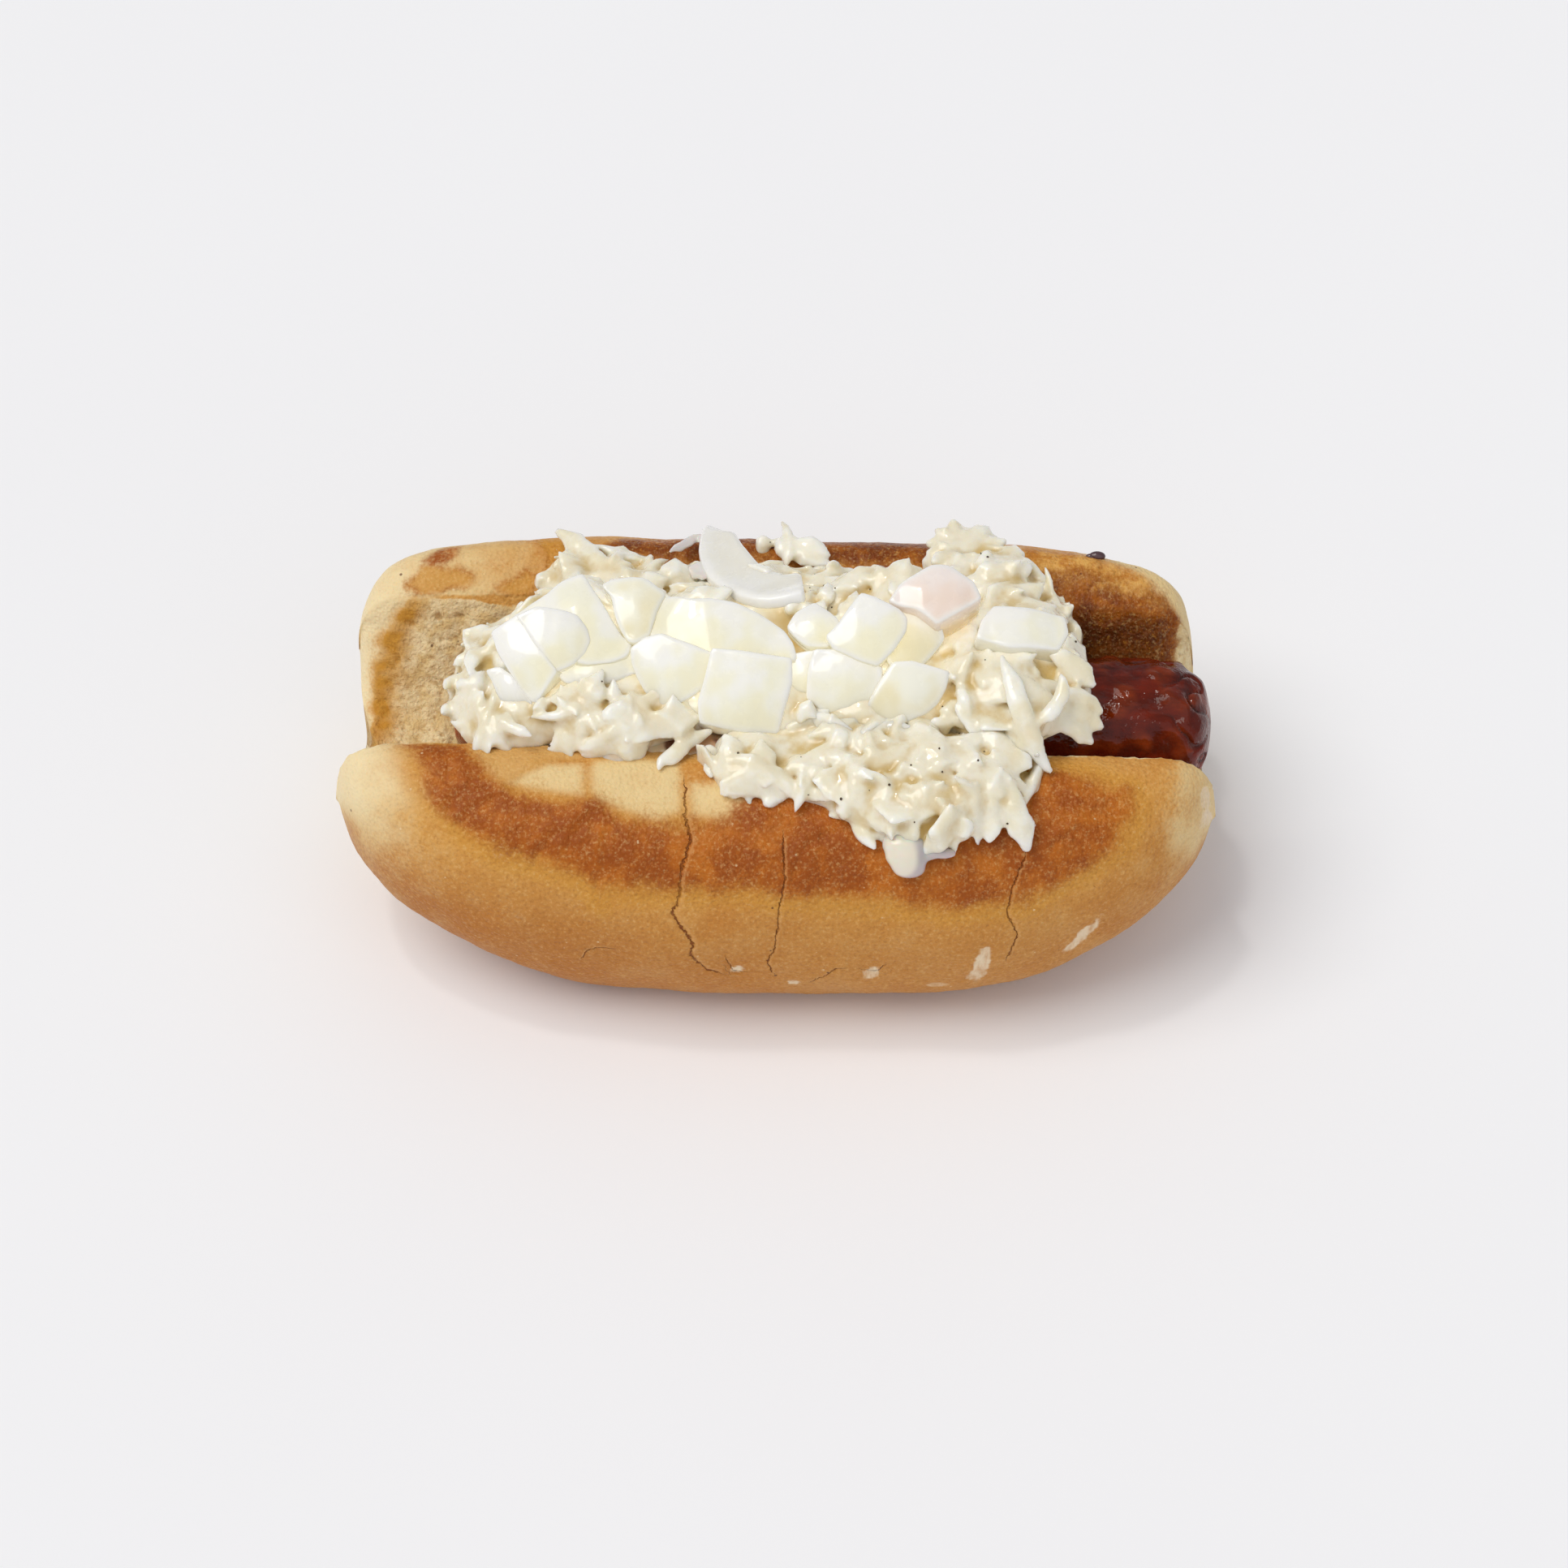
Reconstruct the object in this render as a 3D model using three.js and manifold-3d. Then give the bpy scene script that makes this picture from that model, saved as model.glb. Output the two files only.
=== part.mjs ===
// Hot dog: an opened bun, a grilled sausage, a heap of creamy slaw and coarsely diced onion.
// Millimetres, +Z up. X runs along the bun and Y from its near half to its far half.
// The origin is the middle of the flat spot that the bun rests on.
import * as THREE from 'three';
import { mergeVertices } from 'three/addons/utils/BufferGeometryUtils.js';
import Module from 'manifold-3d';

const wasm = await Module();
wasm.setup();

// ---------------------------------------------------------------- driving dimensions

const CLEARANCE = 0.3; // gap between pieces that touch
const WELD = 1e-3; // vertices closer than this are one vertex

// A loaf cut from the top almost to its base and opened. Section points are [y, z]; what
// would lie below zero is pressed flat there.
const BUN = {
  nearEnds: [-77, 76], // where the near half ends, left and right
  farEnds: [-76, 74], // and the far half, a little shorter
  crust: [ // profile at mid-length, from the near rim round the base to the far rim
    [-14, 44.6], [-22, 46], [-34.5, 39.5], [-41, 25], [-38, 8], [-24, -1.2],
    [19, -1.2], [34, 6.5], [42, 22], [41, 37.5], [32, 47.6], [21.4, 44.4],
  ],
  cutFace: [ // the two cut faces and the hinge between them, from rim to rim
    [-14, 44.6], [-10, 35], [-6.5, 24.5], [2, 18], [10.5, 24], [16.2, 34], [21.4, 44.4],
  ],
  tipHeight: 24, // level at which the rounded ends come to their tips
  endCut: 0.985, // share of the rounding that is used before the ends are closed
  nearEnd: 3, farEnd: 4.6, baseEnd: 3.4, rimEnd: 22, faceEnd: 12, // how blunt each part's end is
  farTipDepth: 0.3, // how far inside the far half its tips lie, as a share of its thickness
  unevenness: 0.5,
  calmHeight: 8, // the dough grows uneven over this height above the base
  pairs: 20, // steps round the section
  stations: 12, // steps from the middle to each end
};

const SAUSAGE = {
  axis: [3, 34], // y and z of its middle line
  ends: [-57.5, 75.5],
  radius: 11.4,
  roundedEnd: 9, // length over which an end rounds off
  bluntness: 2.6,
  endCut: 0.999,
  shrivel: 0.25, // depth of the skin's uneven spots
  sides: 18,
  stations: 18,
};

// Each mound of the heap is [centre, radii].
const SLAW_MOUNDS = [
  // along the sausage, left to right
  [[-44, -2.2, 45], [11.5, 13.3, 7]],
  [[-27, 0.7, 46.5], [22, 17.5, 7.5]],
  [[-4, 4, 48], [22, 18.5, 7]],
  [[18, 4, 48], [22, 19, 7.5]],
  [[39, 2, 47.5], [15, 18, 8]],
  // the crest
  [[-30, 6, 50], [17, 8.5, 7]],
  [[-4, 10, 50], [17, 9, 7]],
  [[20, 9, 50], [17, 10, 7.5]],
  // spilling over the near rim and down the crust
  [[-3, -17, 45.5], [8, 8, 4.5]],
  [[12, -18, 45.5], [14, 10, 4.5]],
  [[27, -20, 44.5], [16, 12, 5.5]],
  [[23, -29, 42], [9, 7, 3.8]],
  [[39, -25, 43], [4.5, 6, 3]],
  // lapping onto the far rim
  [[-33, 22, 47.5], [9, 8, 4]],
  [[-18, 21, 48], [9, 8, 4.5]],
  [[-4, 19, 48], [9, 8, 4.5]],
  [[9, 21, 48.5], [12, 8, 4.5]],
  [[33, 21, 48.5], [14, 9, 4.5]],
  [[32, 29, 49.5], [7, 6, 3]],
];
const SLAW_BIT = [[1.2, 32.6, 48.6], [4.4, 3.8, 2.2]]; // a scrap on the far crust
const MOUND_STEPS = { round: 12, upward: 7 };

// Strips of cabbage in dressing, fused onto the mounds.
const SHREDS = {
  seed: 11,
  tries: 1200,
  triesOnBit: 20,
  spacing: 4.7, // least distance between the middles of two shreds
  length: [4.5, 9],
  width: [1.8, 3.4],
  thickness: [1.2, 2],
  pointed: 0.45, // width of the ends as a share of the middle's
  curl: 0.5, // sideways bow as a share of the length
  lift: 0.3, // how steeply a shred may stand off the heap
  droop: 0.3, // how far both ends bend down as a share of the length
  steepest: 0.1, // least upward part of the normal where a shred may lie
};

// Diced onion. Each piece is a slab: at is the middle of its upper face, lean raises the far
// side of that face, roll lowers its right side, in degrees, and outline goes round the face
// as [right, up the slope] from at. Pieces that lie on top come first.
const ONIONS = [
  { at: [-5.5, -9, 54], lean: 47, roll: 0, thick: 7,
    outline: [[-5.5, 6.5], [7, 5.5], [7.5, 2.5], [5.5, -7], [-7.5, -5]] },
  { at: [26.3, 5.4, 63.8], lean: 12, roll: 0, thick: 8.5,
    outline: [[-7.5, -3], [-4.5, 1.5], [2.5, 5], [7.5, -0.5], [0, -6.5]] },
  { at: [14.4, -1, 60.4], lean: 30, roll: 0, thick: 7,
    outline: [[-6, 0], [-1.5, 6.5], [5, 5], [7, 1.5], [1.5, -5.5], [-5, -3]] },
  { at: [40.9, -0.6, 59.1], lean: 28, roll: 14, thick: 6.5,
    outline: [[-7.5, -1.5], [-5.5, 4], [6.5, 5.5], [7.5, 1.5], [5, -5], [-7, -5.5]] },
  { at: [10.7, -7.7, 55], lean: 45, roll: -4, thick: 6.5,
    outline: [[-4.5, 5.5], [6, 2.5], [3, -6.5], [-5.5, -3]] },
  { at: [21.2, -8.5, 54], lean: 46, roll: 4, thick: 6,
    outline: [[-2, 5], [7, 5], [3.5, -3], [-6.5, -5]] },
  { at: [23.4, 0, 59], lean: 30, roll: 0, thick: 6,
    outline: [[-3, 4.5], [4, 2.5], [4, -1.5], [0.5, -5], [-4.5, -4.5]] },
  { at: [-36.7, -2.5, 58.8], lean: 32, roll: -8, thick: 5,
    outline: [[-4, 5], [3.5, 4.5], [4.5, 0], [-1.5, -5.5], [-3.5, 0]] },
  { at: [-19, -6.1, 56], lean: 42, roll: -8, thick: 6,
    outline: [[-6.5, 3], [-2, 6], [7, 2], [6, -4], [-1.5, -6.5]] },
  { at: [-10.7, 0.4, 59.2], lean: 24, roll: 0, thick: 4.5,
    outline: [[-11.5, -1.5], [-9, 3.5], [-3, 5], [3, 4], [10, 0.5], [12.5, -4.5], [0.5, -4.5]] },
  { at: [-25.3, 3.2, 60.5], lean: 16, roll: 0, thick: 5.5,
    outline: [[-4.5, 3], [-3, 5], [2, 5], [5.5, 2.5], [1.5, -6.5]] },
  { at: [-31.7, 1.6, 59.3], lean: 22, roll: 6, thick: 5,
    outline: [[-6.5, 4], [-3, 7], [2.5, 1.5], [5.5, -4.5], [-0.5, -5]] },
  { at: [-43.2, -4, 56], lean: 42, roll: -24, thick: 5,
    outline: [[-4.5, 4.5], [2, 6.5], [3.5, -4.5], [-1.5, -7.5]] },
  { at: [4, -5.3, 54.5], lean: 40, roll: 0, thick: 5,
    outline: [[-2, 3.5], [2.5, 3.5], [1.5, -4.5], [-2.5, -3]] },
  { at: [-30.2, -5.3, 55], lean: 40, roll: 0, thick: 3.5,
    outline: [[-6.5, 1], [3.5, 2.5], [4.5, -1], [-6, -2]] },
  { at: [5.7, 2.6, 59.2], lean: 18, roll: 0, thick: 3.5,
    outline: [[-3, 4], [3.5, 0.5], [2.5, -4], [-3, -1]] },
  { at: [-45.8, -7.5, 51.5], lean: 45, roll: -22, thick: 2.2,
    outline: [[-3.5, 4.5], [0, 3], [3, -3], [-0.5, -3]] },
];

// How a slab is softened: the length cut from each corner, the bevel, the rise of the face
// over its edge, and the shares by which the face's edge and its crown are drawn in.
const ONION_EDGE = { corner: 0.9, bevel: 0.5, crown: 0.5, shrink: 0.07, crownShrink: 0.6 };

// A crescent cut across an onion ring, lying from the far rim up onto the heap.
const ONION_SLIVER = {
  path: [
    [-9.8, 29.5, 51.3], [-8.8, 23.5, 53.2], [-5.8, 16.3, 55.6], [-0.6, 12, 57.6], [3.6, 12.3, 58.2],
  ],
  flatSide: [1, 0.75, -0.1], // direction of its width
  width: 7.2,
  thick: 3.2,
  tip: 0.6, // width of the tip as a share of the middle's
  steps: 12,
};

// ---------------------------------------------------------------- solids and meshes

const mix = (a, b, share) => a.map((value, k) => value + share * (b[k] - value));

function geometryOf(points, triangles) {
  const geometry = new THREE.BufferGeometry();
  geometry.setAttribute('position', new THREE.Float32BufferAttribute(points.flat(), 3));
  geometry.setIndex(triangles.flat());
  return geometry;
}

// Closed rings of equal length, skinned one to the next. The first and last rings are closed
// by cap(size), which gives triangles of places in a ring, wound as the ring is.
function loft(rings, cap) {
  const size = rings[0].length;
  const last = (rings.length - 1) * size;
  const triangles = [];
  for (let r = 0; r + 1 < rings.length; r++) {
    for (let k = 0; k < size; k++) {
      const a = r * size + k;
      const b = r * size + ((k + 1) % size);
      triangles.push([a, b, b + size], [a, b + size, a + size]);
    }
  }
  for (const [a, b, c] of cap(size)) {
    triangles.push([a, c, b], [last + a, last + b, last + c]);
  }
  return geometryOf(rings.flat(), triangles);
}

const fanCap = (size) => Array.from({ length: size - 2 }, (_, k) => [0, k + 1, k + 2]);

function mergedPositions(geometry) {
  const bare = geometry.clone();
  bare.deleteAttribute('normal');
  bare.deleteAttribute('uv');
  return mergeVertices(bare, WELD);
}

function solidOf(geometry) {
  const merged = mergedPositions(geometry);
  return new wasm.Manifold(new wasm.Mesh({
    numProp: 3,
    vertProperties: merged.attributes.position.array,
    triVerts: new Uint32Array(merged.index.array),
  }));
}

function geometryFrom(solid) {
  const { numProp, vertProperties, triVerts, numVert } = solid.getMesh();
  const points = [];
  for (let v = 0; v < numVert; v++) {
    points.push([...vertProperties.subarray(v * numProp, v * numProp + 3)]);
  }
  return geometryOf(points, [[...triVerts]]);
}

// The solid with its surface moved outwards by the clearance, for cutting what touches it.
function grown(solid) {
  const merged = mergedPositions(geometryFrom(solid));
  merged.computeVertexNormals();
  const { position, normal } = merged.attributes;
  for (let v = 0; v < position.count; v++) {
    const outward = new THREE.Vector3().fromBufferAttribute(normal, v);
    const point = new THREE.Vector3().fromBufferAttribute(position, v);
    position.setXYZ(v, ...point.addScaledVector(outward, CLEARANCE).toArray());
  }
  return solidOf(merged);
}

const joined = (solids) => solids.reduce((whole, solid) => whole.add(solid));
const largestBody = (solid) =>
  solid.decompose().reduce((most, body) => (body.volume() > most.volume() ? body : most));

// ---------------------------------------------------------------- bun

// 1 in the middle and 0 at the end; the larger the bluntness, the later it falls.
const endRounding = (reach, bluntness) => Math.sqrt(1 - reach ** bluntness);

// The gentle lumps of baked dough.
const doughLump = (x, y, z) =>
  Math.sin(0.11 * x + 0.7) * Math.cos(0.13 * y + 0.09 * z) +
  0.6 * Math.sin(0.23 * x + 0.17 * z + 2.1) + 0.5 * Math.cos(0.19 * y - 0.16 * x);

function spacedOnCurve(corners, steps) {
  const curve = new THREE.SplineCurve(corners.map(([y, z]) => new THREE.Vector2(y, z)));
  return curve.getSpacedPoints(steps).map((point) => point.toArray());
}

// Every point of the crust is paired with one of the cut face. Towards the ends the crust
// draws in to its partner, so each half ends in a rounded tip.
function bunSolid() {
  const crust = spacedOnCurve(BUN.crust, BUN.pairs);
  const cutFace = spacedOnCurve(BUN.cutFace, BUN.pairs);

  const ring = (u) => {
    const reach = BUN.endCut * Math.abs(u);
    const [nearX, farX] = [BUN.nearEnds, BUN.farEnds].map((ends) => Math.abs(u) * ends[u < 0 ? 0 : 1]);
    const settled = ([y, z]) => {
      const bluntness = z > BUN.tipHeight ? BUN.rimEnd : BUN.baseEnd;
      return [y, BUN.tipHeight + (z - BUN.tipHeight) * endRounding(reach, bluntness)];
    };
    const outside = [];
    const inside = [];
    crust.forEach((point, i) => {
      const side = i / BUN.pairs; // 0 at the near rim, 1 at the far rim
      const x = nearX + side * (farX - nearX);
      const base = Math.sin(Math.PI * side) ** 2;
      const wallEnd = side < 0.5 ? BUN.nearEnd : BUN.farEnd;
      const tip = mix(cutFace[i], point, side < 0.5 ? 0 : BUN.farTipDepth * (1 - base));
      const bluntness = wallEnd + (BUN.baseEnd - wallEnd) * base;
      const [y, z] = settled(mix(tip, point, endRounding(reach, bluntness)));
      const free = Math.min(1, Math.max(0, z) / BUN.calmHeight) * Math.sin(Math.PI * side);
      const lump = BUN.unevenness * free * doughLump(x, y, z);
      outside.push([x, y + lump * Math.sign(y), Math.max(0, z + lump * Math.min(1, z / BUN.tipHeight))]);
      inside.push([x, ...settled(mix(tip, cutFace[i], endRounding(reach, BUN.faceEnd)))]);
    });
    return [...outside, ...inside.slice(1, -1).reverse()];
  };

  const rings = [];
  for (let k = -BUN.stations; k <= BUN.stations; k++) {
    rings.push(ring(Math.sin((Math.PI / 2) * (k / BUN.stations))));
  }
  const ladderCap = (size) => {
    const partner = (i) => (i === 0 || i === BUN.pairs ? i : size - i);
    const triangles = [[0, 1, partner(1)]];
    for (let i = 1; i + 1 < BUN.pairs; i++) {
      triangles.push([i, i + 1, partner(i + 1)], [i, partner(i + 1), partner(i)]);
    }
    return [...triangles, [BUN.pairs - 1, BUN.pairs, partner(BUN.pairs - 1)]];
  };
  return solidOf(loft(rings, ladderCap));
}

// ---------------------------------------------------------------- sausage

function sausageSolid() {
  const [left, right] = SAUSAGE.ends;
  const middle = (left + right) / 2;
  const half = (right - left) / 2;
  const rings = [];
  for (let k = 0; k <= SAUSAGE.stations; k++) {
    const x = middle - SAUSAGE.endCut * half * Math.cos(Math.PI * k / SAUSAGE.stations);
    const inEnd = Math.max(0, 1 - (half - Math.abs(x - middle)) / SAUSAGE.roundedEnd);
    const radius = SAUSAGE.radius * endRounding(inEnd, SAUSAGE.bluntness);
    rings.push(Array.from({ length: SAUSAGE.sides }, (_, side) => {
      const angle = -2 * Math.PI * side / SAUSAGE.sides;
      const spot = Math.sin(0.31 * x + 2 * Math.cos(angle)) * Math.cos(3 * angle + 0.17 * x);
      const r = radius * (1 + SAUSAGE.shrivel / SAUSAGE.radius * spot);
      return [x, SAUSAGE.axis[0] - r * Math.cos(angle), SAUSAGE.axis[1] + r * Math.sin(angle)];
    }));
  }
  return solidOf(loft(rings, fanCap));
}

// ---------------------------------------------------------------- onion

const nextOf = (list, k) => list[(k + 1) % list.length];

// An outline with each corner cut to two points.
function softened(outline, cut) {
  const towards = (corner, other) => {
    const length = Math.hypot(other[0] - corner[0], other[1] - corner[1]);
    return mix(corner, other, Math.min(0.35, cut / length));
  };
  return outline.flatMap((corner, k) => {
    const before = outline[(k + outline.length - 1) % outline.length];
    return [towards(corner, before), towards(corner, nextOf(outline, k))];
  });
}

const centreOf = (outline) => [0, 1].map((k) =>
  outline.reduce((sum, point) => sum + point[k], 0) / outline.length);

function onionSlab({ at, lean, roll, thick, outline }) {
  const { corner, bevel, crown, shrink, crownShrink } = ONION_EDGE;
  const anticlockwise = softened(outline, corner).reverse();
  const middle = centreOf(anticlockwise);
  const level = (drawnIn, z) => anticlockwise.map((point) => [...mix(point, middle, drawnIn), z]);
  const rings = [
    level(0, -thick), level(0, -crown - bevel), level(shrink, -crown), level(crownShrink, 0),
  ];
  const place = new THREE.Matrix4()
    .makeTranslation(...at)
    .multiply(new THREE.Matrix4().makeRotationY(THREE.MathUtils.degToRad(roll)))
    .multiply(new THREE.Matrix4().makeRotationX(THREE.MathUtils.degToRad(lean)));
  return solidOf(loft(rings, fanCap).applyMatrix4(place));
}

// A strip of rectangular section along a path; side is the direction of its width.
function strip({ path, side, width, thick, steps }) {
  const curve = new THREE.CatmullRomCurve3(path);
  const rings = [];
  for (let k = 0; k <= steps; k++) {
    const t = k / steps;
    const along = curve.getTangentAt(t);
    const across = side.clone().addScaledVector(along, -side.dot(along)).normalize();
    const up = new THREE.Vector3().crossVectors(along, across);
    rings.push([[-1, -1], [1, -1], [1, 1], [-1, 1]].map(([a, b]) => curve.getPointAt(t)
      .addScaledVector(across, a * width(t) / 2).addScaledVector(up, b * thick(t) / 2).toArray()));
  }
  return solidOf(loft(rings, fanCap));
}

function onionSliver({ path, flatSide, width, thick, tip, steps }) {
  return strip({
    path: path.map((point) => new THREE.Vector3(...point)),
    side: new THREE.Vector3(...flatSide),
    width: (t) => width * (tip + (1 - tip) * Math.sin(Math.PI * Math.min(0.5, t))),
    thick: () => thick,
    steps,
  });
}

// ---------------------------------------------------------------- slaw

// Repeatable random numbers between 0 and 1, by a linear congruential rule.
function randomSource(seed) {
  const modulus = 2 ** 32;
  let state = seed;
  return () => {
    state = (state * 1664525 + 1013904223) % modulus;
    return state / modulus;
  };
}

function mound([centre, radii]) {
  const ball = new THREE.SphereGeometry(1, MOUND_STEPS.round, MOUND_STEPS.upward);
  return solidOf(ball.rotateX(Math.PI / 2).scale(...radii).translate(...centre));
}

// Points spread evenly over what a solid shows from above, each with its outward normal.
function surfaceSampler(solid, random) {
  const geometry = geometryFrom(solid);
  const faces = [];
  let total = 0;
  for (let f = 0; f < geometry.index.count; f += 3) {
    const corners = [0, 1, 2].map((k) => new THREE.Vector3()
      .fromBufferAttribute(geometry.attributes.position, geometry.index.getX(f + k)));
    const face = new THREE.Triangle(...corners);
    if (face.getNormal(new THREE.Vector3()).z < SHREDS.steepest) continue;
    total += face.getArea();
    faces.push({ face, upTo: total });
  }
  return () => {
    const target = random() * total;
    const { face } = faces.find(({ upTo }) => upTo >= target);
    const [a, b] = [random(), random()];
    const [s, t] = a + b > 1 ? [1 - a, 1 - b] : [a, b];
    const point = face.a.clone()
      .addScaledVector(face.b.clone().sub(face.a), s)
      .addScaledVector(face.c.clone().sub(face.a), t);
    return { point, normal: face.getNormal(new THREE.Vector3()) };
  };
}

function shred(point, normal, random) {
  const between = ([low, high]) => low + (high - low) * random();
  const length = between(SHREDS.length);
  const width = between(SHREDS.width);
  const thick = between(SHREDS.thickness);
  const heading = random() * 2 * Math.PI;
  const lift = SHREDS.lift * random();
  const bow = SHREDS.curl * (random() - 0.5) * length;
  const along = new THREE.Vector3(Math.cos(heading), Math.sin(heading), 0);
  along.addScaledVector(normal, -along.dot(normal)).normalize();
  const across = new THREE.Vector3().crossVectors(normal, along);
  const path = [-0.5, 0, 0.5].map((t) => point.clone()
    .addScaledVector(along, t * length)
    .addScaledVector(across, bow * (1 - 4 * t * t))
    .addScaledVector(normal, thick / 2 + (lift * (t + 0.3) - SHREDS.droop * t * t) * length));
  const taper = (t) => SHREDS.pointed + (1 - SHREDS.pointed) * Math.sin(Math.PI * t);
  return strip({
    path, side: across, width: (t) => width * taper(t), thick: (t) => thick * taper(t), steps: 2,
  });
}

// The mounds as one body, fitted round everything that they touch.
const slawCore = (mounds, neighbours) =>
  largestBody(joined(mounds.map(mound)).subtract(neighbours));

// Fuses shreds onto a core wherever they clear the pieces round it.
function withShreds(core, neighbours, tries) {
  const random = randomSource(SHREDS.seed);
  const sample = surfaceSampler(core, random);
  const middles = [];
  let heap = core;
  for (let k = 0; k < tries; k++) {
    const { point, normal } = sample();
    if (middles.some((other) => other.distanceTo(point) < SHREDS.spacing)) continue;
    const strand = shred(point, normal, random);
    if (strand.intersect(neighbours).volume() > WELD) continue;
    heap = heap.add(strand);
    middles.push(point);
  }
  return largestBody(heap);
}

// ---------------------------------------------------------------- assembly

const bakedCrust = new THREE.MeshStandardMaterial({ color: 0xd9a05c, roughness: 0.7, metalness: 0 });
const grilledSkin = new THREE.MeshStandardMaterial({ color: 0x7a2a16, roughness: 0.35, metalness: 0 });
const creamySlaw = new THREE.MeshStandardMaterial({ color: 0xf1ead2, roughness: 0.45, metalness: 0 });
const onionFlesh = new THREE.MeshStandardMaterial({ color: 0xf0efe2, roughness: 0.25, metalness: 0 });

function piece(name, solid, material) {
  const mesh = new THREE.Mesh(geometryFrom(solid), material);
  mesh.name = name;
  return mesh;
}

const bun = bunSolid();
const sausage = sausageSolid();
const breadAndMeat = joined([grown(bun), grown(sausage)]);
const core = slawCore(SLAW_MOUNDS, breadAndMeat);

// An onion piece sits on the heap's core, trimmed where it would cut into one that lies on it.
const aroundHeap = joined(SLAW_MOUNDS.map((each) => grown(mound(each))));
const onions = [];
let placed = breadAndMeat;
for (const whole of [onionSliver(ONION_SLIVER), ...ONIONS.map(onionSlab)]) {
  onions.push(largestBody(whole.subtract(placed).subtract(aroundHeap)));
  placed = placed.add(grown(whole));
}

const slaw = withShreds(core, placed, SHREDS.tries);
placed = placed.add(grown(slaw));
const slawBit = withShreds(slawCore([SLAW_BIT], placed), placed, SHREDS.triesOnBit);

const hotDog = new THREE.Group();
hotDog.add(piece('bun', bun, bakedCrust));
hotDog.add(piece('sausage', sausage, grilledSkin));
hotDog.add(piece('slaw', slaw, creamySlaw));
hotDog.add(piece('slaw_bit', slawBit, creamySlaw));
onions.forEach((solid, k) => {
  hotDog.add(piece(`onion_${String(k + 1).padStart(2, '0')}`, solid, onionFlesh));
});

export default hotDog;
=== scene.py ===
import math

import bpy
import numpy as np
from mathutils import Matrix, Vector, noise
from mathutils.bvhtree import BVHTree


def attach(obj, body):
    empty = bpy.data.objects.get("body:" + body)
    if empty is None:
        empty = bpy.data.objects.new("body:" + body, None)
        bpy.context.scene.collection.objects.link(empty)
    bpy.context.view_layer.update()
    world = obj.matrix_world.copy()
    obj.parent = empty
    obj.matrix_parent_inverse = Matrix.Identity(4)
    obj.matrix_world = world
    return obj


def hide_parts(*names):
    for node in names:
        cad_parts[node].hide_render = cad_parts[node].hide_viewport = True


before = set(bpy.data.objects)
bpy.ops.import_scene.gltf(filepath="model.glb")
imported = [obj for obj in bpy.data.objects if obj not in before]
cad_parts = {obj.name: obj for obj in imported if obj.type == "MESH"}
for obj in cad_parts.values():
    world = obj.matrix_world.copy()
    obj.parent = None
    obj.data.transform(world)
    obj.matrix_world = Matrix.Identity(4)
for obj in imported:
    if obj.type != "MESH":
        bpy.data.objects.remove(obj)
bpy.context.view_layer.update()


# ==== Bun ====================================================================================
# A soft wheat bun, cut from the top almost to its base and opened. Its section is swept along its
# length, and both halves draw in to blunt tips. Each point of its skin is known by X, its place
# along the bun, and ROUND, its distance round the skin from the near rim, both in mm.

MM = 0.001  # a millimetre in the scene's metres

CRUST_PROFILE = [
    (-14, 44.6), (-22, 46), (-34.5, 39.5), (-41, 25), (-38, 8), (-24, -1.2),
    (19, -1.2), (34, 6.5), (42, 22), (41, 37.5), (32, 47.6), (21.4, 44.4),
]
CUT_PROFILE = [(-14, 44.6), (-10, 35), (-6.5, 24.5), (2, 18), (10.5, 24), (16.2, 34), (21.4, 44.4)]
NEAR_HALF_ENDS = (-77, 76)
FAR_HALF_ENDS = (-76, 74)
TIP_HEIGHT = 24
FAR_TIP_DEPTH = 0.3
NEAR_END, FAR_END, BASE_END, RIM_END, FACE_END = 3, 4.6, 3.4, 22, 12  # how blunt each part's end is
OUTERMOST = 0.998  # the last ring stays a little open, and is rounded over later
BUN_RINGS = 301
CRUST_STEPS = [(0.32, 100), (0.78, 44), (1.0, 60)]  # steps up to each share of the way round
CUT_STEPS = [(0.4, 32), (1.0, 78)]
RIM_PASSES, TIP_PASSES = 6, 30  # how often the rims and the tips are eased


def along_curve(corners, shares):
    """Points at the given shares of the length of the smooth curve through the corners."""
    corners = np.array(corners, float)
    last = len(corners) - 1
    t = np.linspace(0, last, 200 * last + 1)
    k = np.minimum(t.astype(int), last - 1)
    w = (t - k)[:, None]
    before, start, end, after = (corners[np.clip(k + step, 0, last)] for step in (-1, 0, 1, 2))
    leave, arrive = (end - before) / 2, (after - start) / 2
    points = (2 * (start - end) + leave + arrive) * w**3 + (3 * (end - start) - 2 * leave - arrive) * w**2
    points += leave * w + start
    lengths = np.concatenate([[0], np.cumsum(np.linalg.norm(np.diff(points, axis=0), axis=1))])
    places = np.asarray(shares) * lengths[-1]
    return np.stack([np.interp(places, lengths, axis) for axis in points.T], axis=1), lengths[-1]


def spread(stretches):
    """Shares from 0 to 1, with a chosen number of steps up to the end of each stretch."""
    shares, start = [0.0], 0.0
    for end, steps in stretches:
        shares.extend(np.linspace(start, end, steps + 1)[1:])
        start = end
    return np.array(shares)


def rounding(reach, bluntness):
    """1 at mid-length and 0 at the tip; the blunter the end, the later it falls."""
    return np.sqrt(np.maximum(0, 1 - reach**bluntness))


def dough_lump(x, y, z):
    """The gentle unevenness of baked dough."""
    return (np.sin(0.11 * x + 0.7) * np.cos(0.13 * y + 0.09 * z)
            + 0.6 * np.sin(0.23 * x + 0.17 * z + 2.1) + 0.5 * np.cos(0.19 * y - 0.16 * x))


def soft_step(value, start, end):
    """0 before start, 1 after end and smooth between."""
    t = np.clip((value - start) / (end - start), 0, 1)
    return t * t * (3 - 2 * t)


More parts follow.
